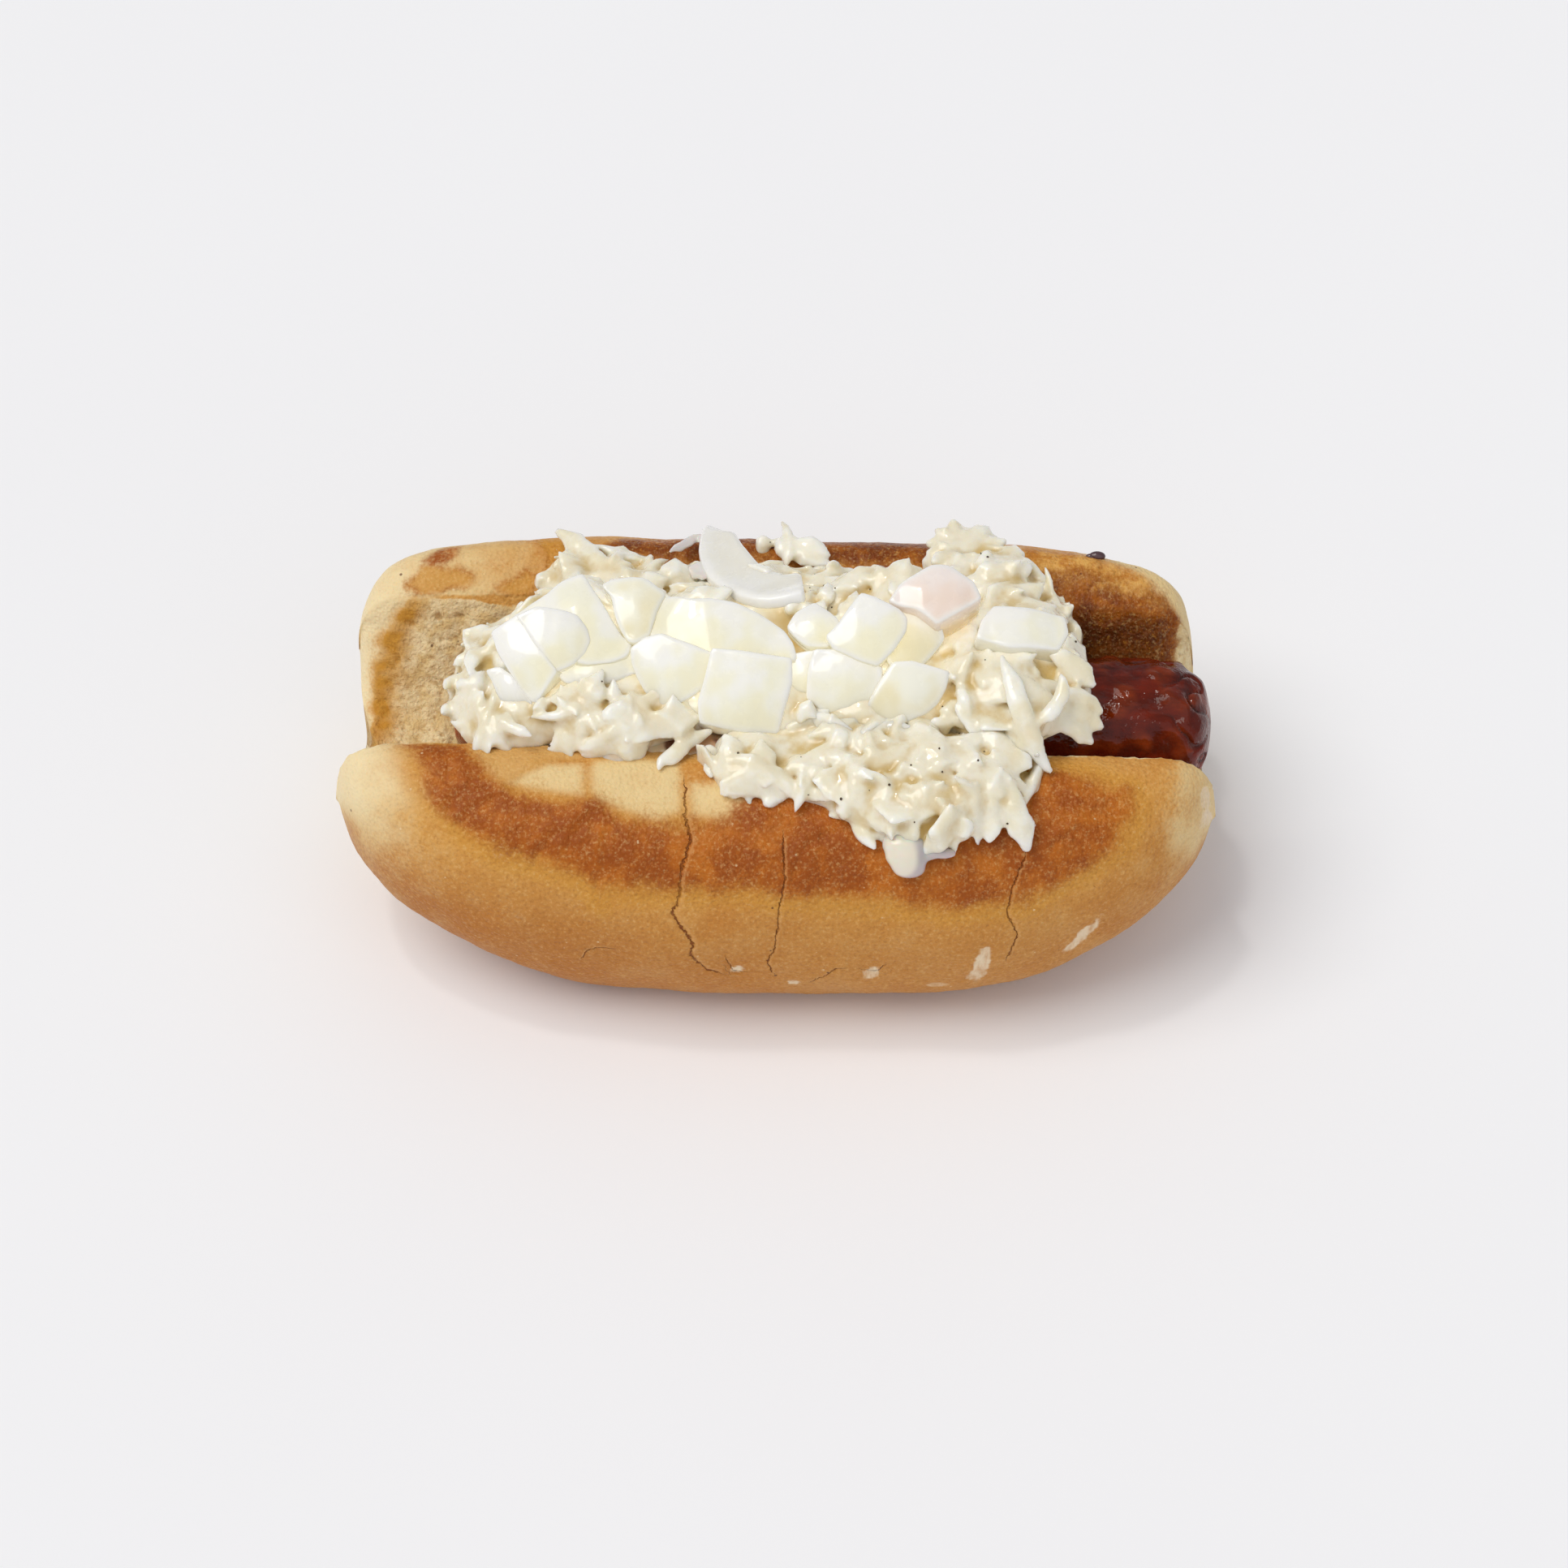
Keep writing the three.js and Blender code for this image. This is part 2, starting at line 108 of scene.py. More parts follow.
def bun_skin(along, shares, is_crust):
    """Grid of points of the crust or of the cut faces: [station along the bun, place round it]."""
    reach = OUTERMOST * np.abs(along)[:, None]
    side = shares[None, :]
    near_x, far_x = (
        np.abs(along)[:, None] * np.where(along < 0, left, right)[:, None]
        for left, right in (NEAR_HALF_ENDS, FAR_HALF_ENDS)
    )
    x = near_x + side * (far_x - near_x)
    cut = along_curve(CUT_PROFILE, shares)[0][None, :, :]
    crust = along_curve(CRUST_PROFILE, shares)[0][None, :, :]
    base = np.sin(np.pi * side) ** 2
    tip = cut + np.where(side < 0.5, 0, FAR_TIP_DEPTH * (1 - base))[..., None] * (crust - cut)
    wall = np.where(side < 0.5, NEAR_END, FAR_END)
    if is_crust:
        section = tip + (crust - tip) * rounding(reach, wall + (BASE_END - wall) * base)[..., None]
    else:
        section = tip + (cut - tip) * rounding(reach, FACE_END)[..., None]
    y, z = section[..., 0], section[..., 1]
    z = TIP_HEIGHT + (z - TIP_HEIGHT) * np.where(
        z > TIP_HEIGHT, rounding(reach, RIM_END), rounding(reach, BASE_END))
    if is_crust:
        lump = 0.5 * np.clip(z / 8, 0, 1) * np.sin(np.pi * side) * dough_lump(x, y, z)
        y = y + lump * np.sign(y)
        z = np.maximum(0, z + lump * np.minimum(1, z / TIP_HEIGHT))
    # The far half's left tip is drawn in low down and stands out a little above.
    x = x + (np.interp(0.75 * y + 0.66 * z, [8, 18, 28, 38, 50, 60], [4, 3, 0, -1.2, -0.8, 0])
             * soft_step(-x, 52, 74) * soft_step(y, -6, 3))
    return np.stack([x, y, z], axis=-1)


def noise_at(points, size, seed=0.0):
    """Smooth noise, from -1 to 1, with lumps of about the given size at points in mm."""
    flat = points.reshape(-1, 3) / size + seed
    return np.array([noise.noise(p) for p in flat.tolist()]).reshape(points.shape[:-1])


def bell(value, width):
    """1 at zero, falling off on both sides of it."""
    return np.exp(-((value / width) ** 2))


def unit(vectors):
    """Vectors brought to length 1."""
    return vectors / np.maximum(np.linalg.norm(vectors, axis=-1, keepdims=True), 1e-9)


def edge_gaps(across, down, start, edge):
    """Distance from each place on a skin to each edge of a path drawn on it, and the way from its start."""
    off = np.stack([across, down], axis=-1)[..., None, :] - start
    share = np.clip((off * edge).sum(-1) / (edge**2).sum(-1), 0, 1)
    return np.linalg.norm(off - share[..., None] * edge, axis=-1), off


def side_of(across, down, path):
    """Distance to a path drawn on a skin, negative on one side of it."""
    path = np.array(path, float)
    edge = np.diff(path, axis=0)
    gaps, off = edge_gaps(across, down, path[:-1], edge)
    nearest = gaps.argmin(-1)[..., None]
    turned = np.take_along_axis(off[..., 0] * edge[:, 1] - off[..., 1] * edge[:, 0], nearest, -1)[..., 0]
    return np.take_along_axis(gaps, nearest, -1)[..., 0] * np.where(turned < 0, -1, 1)


def depth_in(outline):
    """How far each place on the bun's skin lies inside an outline drawn on it; negative outside."""
    start = np.array(outline, float)
    end = np.roll(start, -1, axis=0)
    edge = end - start
    gaps, off = edge_gaps(X, ROUND, start, edge)
    spans = (start[:, 1] > ROUND[..., None]) != (end[:, 1] > ROUND[..., None])
    slope = edge[:, 0] / np.where(edge[:, 1] == 0, 1, edge[:, 1])
    inside = (spans & (X[..., None] < start[:, 0] + off[..., 1] * slope)).sum(-1) % 2 == 1
    return np.where(inside, gaps.min(-1), -gaps.min(-1))


def share_in(outline, shift, start, end):
    """0 outside an outline and 1 inside, as its depth, moved by a shift, goes from start to end."""
    return soft_step(depth_in(outline) + shift, start, end)


# Rings stand evenly along the bun and crowd together where its tips round off.
steps = np.linspace(-1, 1, BUN_RINGS)
along = np.where(np.abs(steps) < 0.8, 1.1 * steps, np.sign(steps) * (1 - 3 * (1 - np.abs(steps)) ** 2))
crust_shares = spread(CRUST_STEPS)
cut_shares = spread(CUT_STEPS)
crust = bun_skin(along, crust_shares, True)
cut = bun_skin(along, cut_shares, False)[:, 1:-1][:, ::-1]
rings = np.concatenate([crust, cut], axis=1)
on_crust = np.arange(rings.shape[1]) < len(crust_shares)
crust_length = along_curve(CRUST_PROFILE, [1])[1]
cut_length = along_curve(CUT_PROFILE, [1])[1]
round_mm = np.concatenate([crust_shares * crust_length, cut_shares[1:-1][::-1] * cut_length])
X, ROUND = rings[..., 0], np.broadcast_to(round_mm, rings.shape[:2])
CRUST = np.broadcast_to(on_crust, rings.shape[:2])

# The rims are torn bread, so the ring is eased a little where crust meets cut face.
near_rim = np.minimum(round_mm, 99)
far_rim = np.where(on_crust, crust_length - round_mm, cut_length - round_mm)
rim_gap = np.minimum(near_rim, np.abs(far_rim))
ease = (0.5 * (1 - soft_step(rim_gap, 0.5, 3.0)))[None, :, None]
for _ in range(RIM_PASSES):
    rings = rings + ease * ((np.roll(rings, 1, 1) + np.roll(rings, -1, 1)) / 2 - rings)

outward = unit(np.cross(np.roll(rings, -1, 1) - np.roll(rings, 1, 1), np.gradient(rings, axis=0)))

# Where the griddle browned the crust, as outlines [along, round].
NEAR_TOAST = [
    (-63.9, 0.8), (-60.4, 11.9), (-57.6, 17.4), (-52, 21.5), (-45.4, 24.3), (-32, 27), (-29.5, 31), (-27, 29),
    (-20.9, 28.4), (-7.3, 28.4), (20, 30.5), (31, 32), (41.8, 31.3), (51.3, 27.8), (58.1, 24.8), (60.7, 16.3),
    (59.3, 10.5), (50, 6), (42.3, 4.5), (10, 5), (-4.9, 10.8), (-8.5, 15.7), (-15.4, 15.5), (-20, 16.8),
    (-25.4, 15.4), (-29.6, 13.8), (-36, 13), (-42.4, 12), (-47.7, 10.8), (-50.6, 6.3), (-52.4, 0.3),
]
NEAR_PALE = [
    [(-46, 11), (-42, 8), (-38.4, 6.2), (-32.6, 5.8), (-32.2, 12.6), (-36, 12.8), (-42.4, 12.2)],
    [(-31.2, 5.2), (-26.4, 3.8), (-15.9, 4.6), (-15.4, 15.4), (-20, 16.8), (-25.4, 15.4), (-29.6, 13.6),
     (-31.2, 11.5)],
    [(-14.9, 9), (-8.1, 9), (-3, 11), (-6, 15), (-9, 16.3), (-14.6, 15.8)],
]
NEAR_GOLD = [(-56, -1), (-5, -1), (-5, 5), (-16, 5.5), (-31.6, 5.8), (-38.4, 6.6), (-44.5, 11), (-47.7, 10.5),
             (-50.6, 6.3)]
FAR_TOAST = [(-36, 196), (-37, 186), (-30, 179), (0, 175), (38, 176), (46, 180), (57, 181), (64, 183.5), (69, 187),
             (71.8, 192), (72.5, 210)]
FAR_SPOT = [(-65, 184.2), (-61, 180), (-57.2, 179), (-57.6, 184.4), (-60.1, 186.6), (-63.3, 186.6)]
FAR_GOLD = [
    [(-67.2, 189.7), (-65.2, 185.8), (-58.7, 185.8), (-54.3, 186.9), (-52.7, 189.7), (-56.3, 192), (-64.9, 193)],
    [(-52.1, 190.8), (-48.4, 189.9), (-45.5, 187), (-43.6, 189), (-44.6, 193), (-51.1, 193)],
    [(-45, 178), (-41, 176), (-37, 184), (-38, 192), (-42, 190)],
]
FAR_HONEY = [(-68, 192), (-66, 184), (-58, 179), (-46, 178), (-38, 180), (-38, 193), (-52, 194)]
# On the cut face of the far half: the line where crust gives way to crumb, and the toasted end.
CRUMB_LINE = [(-34, 66.8), (-44.3, 65.4), (-49, 64.3), (-53.6, 65.5), (-58, 66), (-66.5, 65), (-70.6, 59.3),
              (-73.2, 54.6), (-73.6, 48), (-73.6, 39.7), (-75, 30)]
CRUMB_STAINS = [(-67, 61, 1.8), (-70, 56.5, 2.6), (-69, 51.5, 2.2), (-72, 46, 2.4), (-71, 41, 2), (-65, 64.5, 1.6)]
FACE_TOAST = [(40, 90), (40, 26), (95, 26), (95, 90)]
# Cracks in the near crust, and short hairlines in its lower part.
CRACKS = [
    [(-15.3, 10.8), (-15.1, 15.7), (-14, 19.6), (-15.6, 24.5), (-16, 30.6), (-17.2, 32.5), (-14.9, 36.4),
     (-13.6, 39.1), (-14.3, 41.6), (-11.4, 46), (-9.7, 46.9)],
    [(1.4, 19.3), (1.8, 25.6), (0.9, 30.3), (0.8, 35), (0, 40.2), (-1, 43), (-0.3, 46)],
    [(41.7, 23.2), (40.1, 28.1), (39.3, 33.4), (40.5, 35.6), (41.1, 38.6), (39.9, 43.8)],
]
HAIRLINES = [
    [(-32.6, 44.9), (-31.7, 42.7), (-29.4, 41.6), (-27.8, 41.6)],
    [(6.8, 49.3), (8.7, 47.4), (10.7, 44.9), (11.5, 44.9)],
    [(-7.9, 42.7), (-7.3, 45.5), (-6.7, 46.9), (-5.3, 46.6)],
    [(15.7, 45.5), (17.6, 46.6), (18.5, 44.7)],
]
WRINKLES = [
    [(-55.4, 17.9), (-54.3, 13.8), (-51.3, 12.7), (-48, 12.1)],
    [(-53, 19.5), (-50.5, 16), (-46.5, 13.5)],
    [(-44.1, 10.2), (-40.8, 7.7), (-36, 5), (-32.1, 4.1)],
    [(-35, 22), (-33, 18), (-30.5, 15.5)], [(-40, 24), (-37.5, 20), (-35, 19)], [(3.5, 24), (6, 19), (10, 17.5)],
    [(-29.5, 27), (-28.2, 23), (-28.5, 19)], [(29, 27), (33, 25), (36, 26)], [(47, 21), (51, 18), (54, 19)],
]
# Where the skin tore off: (along, round, half width, half length, lean of its long side).
TORN_SPOTS = [
    (35.2, 46.5, 1.7, 6.3, 0.15), (52.7, 44.2, 1.7, 5, 0.55), (16.8, 46.8, 1.5, 2.3, 0.3), (-6.2, 46, 1.2, 1.6, 0.4),
    (73.2, 13, 1.3, 6, 0.0), (74, 25, 1.5, 7.5, 0.0), (3.5, 50, 1.2, 1, 0), (28, 52, 2, 1, 0),
]

# The crust of each half, going over into the other's under the base, and noises that break up edges.
near_wall = CRUST * soft_step(ROUND, 106, 82)
far_wall = CRUST * soft_step(ROUND, 104, 126)
waver = noise_at(rings, 6, 3.1) * 1.6 + noise_at(rings, 2.2, 8.7) * 0.6
grain = noise_at(rings, 1.3, 5.0)
speckle = noise_at(rings, 3.2, 11.0)
swirl = noise_at(rings, 9, 2.0)

# Each pattern is a share from 0 to 1, and goes on over the rim where its outline does.
face_toast = share_in(FACE_TOAST, 1.6 * waver, 0, 5) * ~CRUST * soft_step(72.2 - X + 1.6 * waver, -0.6, 3.2)
toast = np.maximum.reduce([
    share_in(NEAR_TOAST, waver, -2.6, 3.8) * near_wall,
    share_in(FAR_TOAST, 1.2 * waver, -1.5, 2.5) * far_wall,
    0.75 * share_in(FAR_SPOT, 0.4 * waver, -0.8, 1.6) * far_wall,
    face_toast,
])
halo = share_in(NEAR_TOAST, 0.6 * waver, -6.5, -0.5) * near_wall
gold = np.maximum(0.75 * halo, share_in(NEAR_GOLD, waver, -2, 2) * near_wall)
for outline in FAR_GOLD:
    inside = depth_in(outline) + 1.4 * waver + speckle
    toast = np.maximum(toast, 0.4 * bell(inside - 0.5, 1.1) * far_wall)
    gold = np.maximum(gold, soft_step(inside, -1.5, 2) * far_wall)
honey = share_in(FAR_HONEY, 2 * waver, -2, 4) * soft_step(speckle + swirl, -0.6, 0.6)
gold = np.maximum(gold, 0.45 * honey * far_wall)

crumb_depth = np.where(CRUST, -9, -depth_in(CRUMB_LINE + [(-90, 30), (-90, 75)]))
stain = bell(crumb_depth - 1.2, 2.6) * (0.45 + 0.45 * soft_step(noise_at(rings, (7, 2, 3), 21), -0.35, 0.45))
for x0, round0, size in CRUMB_STAINS:
    stain += 0.45 * bell(np.hypot(X - x0 + speckle, 0.6 * (ROUND - round0 + speckle)), size)
stain *= soft_step(-X, 60, 68) * 0.75 + 0.25
gold = np.maximum(gold, np.minimum(1, stain) * ~CRUST * (ROUND > 34))
crumb = soft_step(crumb_depth + 0.5 * waver, -0.8, 0.8) * (1 - face_toast) * ~CRUST
crumb = np.where(~CRUST & (ROUND < 33), 1, crumb) * soft_step(rim_gap + speckle + 0.8 * grain, -0.4, 1.4)
rim_crumbs = soft_step(-near_rim + 2.0 * speckle + 1.6, 0, 1.8) * near_wall * soft_step(np.abs(X - 12), 20, 34)

pale = np.maximum.reduce([
    soft_step(-X + 3 * waver, 52, 76) * (1 - 0.75 * soft_step(ROUND, 20, 44) * near_wall),
    0.9 * soft_step(X + 2 * waver, 61, 75) * near_wall * soft_step(ROUND, 60, 25),
    *(0.95 * share_in(outline, 0.4 * waver, -1.6, 2.0) * near_wall for outline in NEAR_PALE),
    0.6 * share_in(NEAR_GOLD, waver, -1, 2) * near_wall * soft_step(-X, -2, 12),
    soft_step(-X + 3 * waver, 34, 58) * far_wall * (0.8 + 0.25 * speckle),
    soft_step(X + 2 * waver, 48, 64) * far_wall,
    ~CRUST * soft_step(X - 1.6 * waver, 68.4, 72.6) * 0.95,
])
gold = gold * (1 - 0.6 * pale * near_wall)

# Cracks are kept as a signed distance, so that the material draws them sharper than the mesh could.
NO_CRACK = 4.0
cracked = np.full(X.shape, NO_CRACK)
for thinness, paths in ((1, CRACKS[:1]), (1.6, CRACKS[1:]), (2.2, HAIRLINES)):
    for path in paths:
        side = thinness * side_of(X + 0.35 * grain, ROUND + 0.2 * speckle, path)
        cracked = np.where(np.abs(side) < np.abs(cracked), side, cracked)
cracked = np.where(near_wall, cracked, NO_CRACK)
crack_gap = np.abs(cracked)
wrinkle = np.zeros(X.shape)
for path in WRINKLES:
    side = np.where(near_wall, side_of(X + 0.5 * speckle, ROUND + 0.4 * speckle, path), 9)
    wrinkle += 0.32 * bell(side - 1.2, 1.0) - 0.28 * bell(side, 0.7)
torn = np.zeros(X.shape)
for x0, round0, wide, tall, lean in TORN_SPOTS:
    across, down = X - x0 + lean * (ROUND - round0), ROUND - round0
    gap = np.hypot(across / wide, down / tall) + 0.3 * grain + 0.3 * speckle
    torn = np.maximum(torn, soft_step(-gap, -1.15, -0.55) * near_wall)

# Pores: round hollows at some of the points of a scattered pattern, as (spacing, share, depth).
PORES = ((2.2, 0.4, 0.7), (1.2, 0.65, 0.45))
pores = np.zeros(X.shape)
for station, place in np.argwhere(~CRUST & (crumb > 0.05)):
    for spacing, share, depth in PORES:
        (gap, *_), (centre, *_) = noise.voronoi(Vector(rings[station, place] / spacing))
        pick = 0.5 + 0.5 * noise.noise(centre * 7.3)
        if pick < share:
            pores[station, place] -= depth * max(0.0, 1 - (gap / (0.2 + 0.55 * pick)) ** 2)

relief = np.where(CRUST, 0.07 * grain + 0.10 * speckle + 0.3 * swirl, 0)
relief += wrinkle - 0.22 * bell(crack_gap, 0.35) + 0.12 * bell(cracked - 0.8, 0.45)
relief -= 0.18 * torn * (1 + grain)
relief += rim_crumbs * 0.3 * grain
relief += crumb * (0.45 * noise_at(rings, 4.5, 17) + 0.2 * speckle + pores)
relief += ~CRUST * (1 - crumb) * (0.2 * speckle + 0.1 * grain)
relief *= soft_step(rings[..., 2], 0.0, 2.0) * soft_step(np.abs(along), 0.999, 0.97)[:, None]
rings = rings + relief[..., None] * outward

# The blunt tips are rounded over.
tip_ease = 0.6 * soft_step(np.abs(along), 0.985, OUTERMOST)[:, None, None]
for _ in range(TIP_PASSES):
    before, after = np.concatenate([rings[1:2], rings[:-1]]), np.concatenate([rings[1:], rings[-2:-1]])
    beside = np.roll(rings, 1, 1) + np.roll(rings, -1, 1)
    rings = rings + tip_ease * ((before + after + beside) / 4 - rings)


def zipped(first, second):
    """Triangles that join two rows of shares: (row, place) corners, whichever row lags moves on."""
    corners, a, b = [], 0, 0
    while a + 1 < len(first) or b + 1 < len(second):
        if b + 1 == len(second) or (a + 1 < len(first) and first[a + 1] <= second[b + 1]):
            corners.append(((0, a), (0, a + 1), (1, b)))
            a += 1
        else:
            corners.append(((0, a), (1, b + 1), (1, b)))
            b += 1
    return corners


def ring_faces(count, size):
    """Four-sided faces that skin each ring to the next."""
    station, place = np.meshgrid(np.arange(count - 1), np.arange(size), indexing="ij")
    start, after = station * size + place, station * size + (place + 1) % size
    return np.stack([start, after, after + size, start + size], axis=-1).reshape(-1, 4)


def solid_mesh(name, points_mm, faces):
    """A smooth-shaded object from points in mm and faces of any number of corners."""
    mesh = bpy.data.meshes.new(name)
    mesh.from_pydata((np.asarray(points_mm) * MM).tolist(), [], [list(map(int, f)) for f in faces])
    mesh.polygons.foreach_set("use_smooth", np.ones(len(mesh.polygons), bool))
    mesh.update()
    thing = bpy.data.objects.new(name, mesh)
    bpy.context.scene.collection.objects.link(thing)
    return thing


def keep_values(thing, **values):
    """Stores a number for each vertex under a name that the material reads."""
    for name, numbers in values.items():
        layer = thing.data.attributes.new(name, "FLOAT", "POINT")
        layer.data.foreach_set("value", np.ascontiguousarray(numbers, dtype=np.float32).ravel())


count, size = rings.shape[:2]
faces = ring_faces(count, size).tolist()
for end, start in ((0, 0), (1, (count - 1) * size)):
    for triangle in zipped(crust_shares, cut_shares):
        corner = [start + (place if row == 0 else (0 if place == 0 else
                  len(crust_shares) - 1 if place == len(cut_shares) - 1 else size - place))
                  for row, place in triangle]
        if len(set(corner)) == 3:
            faces.append(corner if end else corner[::-1])
bun = solid_mesh("bun_baked", rings.reshape(-1, 3), faces)
past_rim = np.where(CRUST, crust_length - ROUND, ROUND - cut_length)
scorched = np.where(X > 30, soft_step(-past_rim + 1.5 * speckle, -12, 10),
                    0.1 + 0.5 * soft_step(past_rim + 2.5 * speckle, 3, 12))
scorched = scorched * (1 - 0.6 * (soft_step(X, 66, 73) * ~CRUST))
keep_values(
    bun, toast=toast, gold=gold, pale=pale, crumb=np.maximum(crumb, 0.8 * rim_crumbs), pore=-pores * crumb,
    cracked=cracked, near_crack=soft_step(crack_gap, 3, 2), torn=torn, scorched=scorched,
    seared=np.maximum(face_toast, toast * far_wall * (X > -45)),
    # The upper part of the left tip is painted lighter still: partly its pale crust, partly painted light.
    bright=soft_step(-X + 2 * waver, 58, 76) * (1 - 0.9 * soft_step(ROUND, 18, 34) * near_wall),
    # The lower part of the near crust is painted a deeper brown: partly the bake of its base, partly painted shade.
    low=soft_step(ROUND, 20, 44) * near_wall * (0.6 + 0.4 * soft_step(-X, 5, 40)))


def paint(red, green, blue):
    """A colour given as it looks, 0 to 255 a channel, as the linear values that a shader takes."""
    return tuple((c / 255 / 12.92 if c < 10.3 else ((c / 255 + 0.055) / 1.055) ** 2.4)
                 for c in (red, green, blue)) + (1.0,)


class Finish:
    """A material under construction: a Principled surface and the nodes that feed it."""

    def __init__(self, name, **constants):
        self.material = bpy.data.materials.new(name)
        self.material.use_nodes = True
        self.tree = self.material.node_tree
        self.surface = self.tree.nodes["Principled BSDF"]
        for socket, value in constants.items():
            self.surface.inputs[socket.replace("_", " ")].default_value = value
        self.place = self.tree.nodes.new("ShaderNodeTexCoord").outputs["Object"]

    def feed(self, socket, value):
        """Links a socket to another, or sets it; a colour is given as it looks."""
        if isinstance(value, bpy.types.NodeSocket):
            self.tree.links.new(value, socket)
        else:
            socket.default_value = paint(*value) if socket.type == "RGBA" else value

    def node(self, kind, settings=None, **inputs):
        made = self.tree.nodes.new("ShaderNode" + kind)
        for key, value in (settings or {}).items():
            setattr(made, key, value)
        for key, value in inputs.items():
            self.feed(made.inputs[key.replace("_", " ")], value)
        return made

    def stored(self, name):
        """A number kept on the mesh's vertices."""
        return self.node("Attribute", {"attribute_name": name}).outputs["Fac"]

    def mottle(self, size_mm, detail=3.0, roughness=0.55, stretch=(1, 1, 1)):
        """Cloudy noise from 0 to 1 with blotches of about this size."""
        place = self.place
        if stretch != (1, 1, 1):
            place = self.node("Mapping", Vector=place, Scale=stretch).outputs["Vector"]
        return self.node("TexNoise", Vector=place, Scale=1 / (size_mm * MM * 2), Detail=detail,
                         Roughness=roughness).outputs["Fac"]

    def cells(self, size_mm):
        """Distance to the nearest of scattered points."""
        return self.node("TexVoronoi", Vector=self.place, Scale=1 / (size_mm * MM)).outputs["Distance"]

    def range(self, value, low, high, to_low=0.0, to_high=1.0):
        """A value taken smoothly from one range to another."""
        return self.node("MapRange", {"interpolation_type": "SMOOTHSTEP"}, Value=value, From_Min=low,
                         From_Max=high, To_Min=to_low, To_Max=to_high).outputs["Result"]

    def sum(self, first, second, operation="ADD"):
        made = self.node("Math", {"operation": operation})
        self.feed(made.inputs[0], first)
        self.feed(made.inputs[1], second)
        return made.outputs[0]

    def times(self, first, second):
        return self.sum(first, second, "MULTIPLY")

    def blend(self, share, first, second):
        """The first colour, going over to the second by the share."""
        made = self.node("Mix", {"data_type": "RGBA"})
        self.feed(made.inputs["Factor"], share)
        self.feed(made.inputs[6], first)
        self.feed(made.inputs[7], second)
        return made.outputs[2]

    def over(self, colour, *coats):
        """A colour with coats laid over it in turn, each as (share, colour)."""
        for share, coat in coats:
            colour = self.blend(share, colour, coat)
        return colour

    def bumps(self, *layers):
        """Fine relief: (height from 0 to 1, depth in mm) for each layer."""
        normal = None
        for height, depth_mm in layers:
            made = self.node("Bump", Height=height, Distance=depth_mm * MM, Strength=1.0)
            if normal:
                self.feed(made.inputs["Normal"], normal)
            normal = made.outputs["Normal"]
        self.feed(self.surface.inputs["Normal"], normal)
        self.feed(self.surface.inputs["Coat Normal"], normal)

    def done(self, *things, **inputs):
        """Feeds the surface and gives the material to the pieces."""
        for key, value in inputs.items():
            self.feed(self.surface.inputs[key.replace("_", " ")], value)
        for thing in things:
            thing.data.materials.append(self.material)
        return self.material


baked = Finish("baked_bread", Subsurface_Weight=0.1, Subsurface_Radius=(1.0, 0.55, 0.3), Subsurface_Scale=0.003,
               Specular_IOR_Level=0.22)
fine = baked.mottle(0.3, 2)
patch = baked.mottle(3.5, 5, 0.62)
drift = baked.mottle(14, 2)
sear = baked.mottle(2.6, 5, 0.75)
grainy = baked.mottle(0.35, 3, 0.7)
pebbles = baked.cells(0.75)
edge = baked.sum(baked.range(fine, 0.3, 0.7, -0.10, 0.10), baked.range(patch, 0.3, 0.7, -0.16, 0.16))


def ragged(name, low=0.25, high=0.75):
    """A stored share whose edge is broken up by the grain of the crust."""
    return baked.range(baked.sum(baked.stored(name), edge), low, high)


brown = baked.over(
    baked.blend(baked.range(patch, 0.36, 0.62), (188, 104, 22), (156, 76, 8)),
    (baked.range(baked.mottle(1.6, 3), 0.5, 0.7, 0, 0.4), (142, 68, 18)),
    (baked.range(pebbles, 0.1, 0.5, 0.3, 0), (204, 134, 66)))
scorch = baked.sum(baked.stored("scorched"), baked.range(patch, 0.3, 0.7, -0.15, 0.15))
seared = baked.over(
    baked.blend(baked.range(sear, 0.4, 0.6), (190, 122, 42), (226, 172, 90)),
    (baked.range(scorch, 0.0, 0.5), baked.blend(baked.range(sear, 0.4, 0.64), (122, 56, 4), (164, 90, 8))),
    (baked.range(scorch, 0.5, 1.0), baked.blend(baked.range(sear, 0.42, 0.66), (90, 42, 12), (130, 70, 22))),
    (baked.range(baked.mottle(0.4, 2), 0.6, 0.72, 0, 0.4), (216, 152, 62)))
darker = baked.times(baked.range(grainy, 0.5, 0.28, 0, 0.3), baked.range(baked.stored("pale"), 0, 1, 1, 0.15))
crumb_colour = baked.over(
    baked.blend(baked.range(baked.mottle(1.4, 4), 0.35, 0.65), (250, 228, 182), (232, 200, 142)),
    # painted shade in the pores, the deeper pores darker
    (baked.range(baked.stored("pore"), 0.06, 0.5, 0, 0.6), (196, 154, 94)),
    (baked.range(baked.mottle(0.5, 3, 0.7), 0.5, 0.7, 0, 0.3), (192, 150, 90)),
    (baked.stored("gold"), (202, 144, 56)))
split = baked.sum(baked.stored("cracked"), baked.range(fine, 0.3, 0.7, -0.18, 0.18))
gap = baked.sum(split, 0.0, "ABSOLUTE")
lip = baked.times(baked.range(split, 0.25, 0.7), baked.range(split, 1.2, 0.6, 0, 0.4))
# painted shade: a thin dark line along the floor of each crack, finer than the mesh's groove
line = baked.times(baked.range(gap, 0.25, 0.03), baked.range(baked.mottle(2.5, 2), 0.35, 0.6, 0.45, 1.0))
lip, line, dip = (baked.times(share, baked.stored("near_crack"))
                  for share in (lip, line, baked.range(gap, 0.3, 0.0)))
streaks = baked.range(baked.mottle(0.8, 3, stretch=(1, 1, 0.25)), 0.35, 0.6, 0.35, 1)
flour = baked.times(baked.range(baked.cells(3.6), 0.04, 0.075, 0.6, 0.0), baked.range(drift, 0.42, 0.55))
soot = baked.range(baked.cells(7), 0.03, 0.045, 0.8, 0.0)
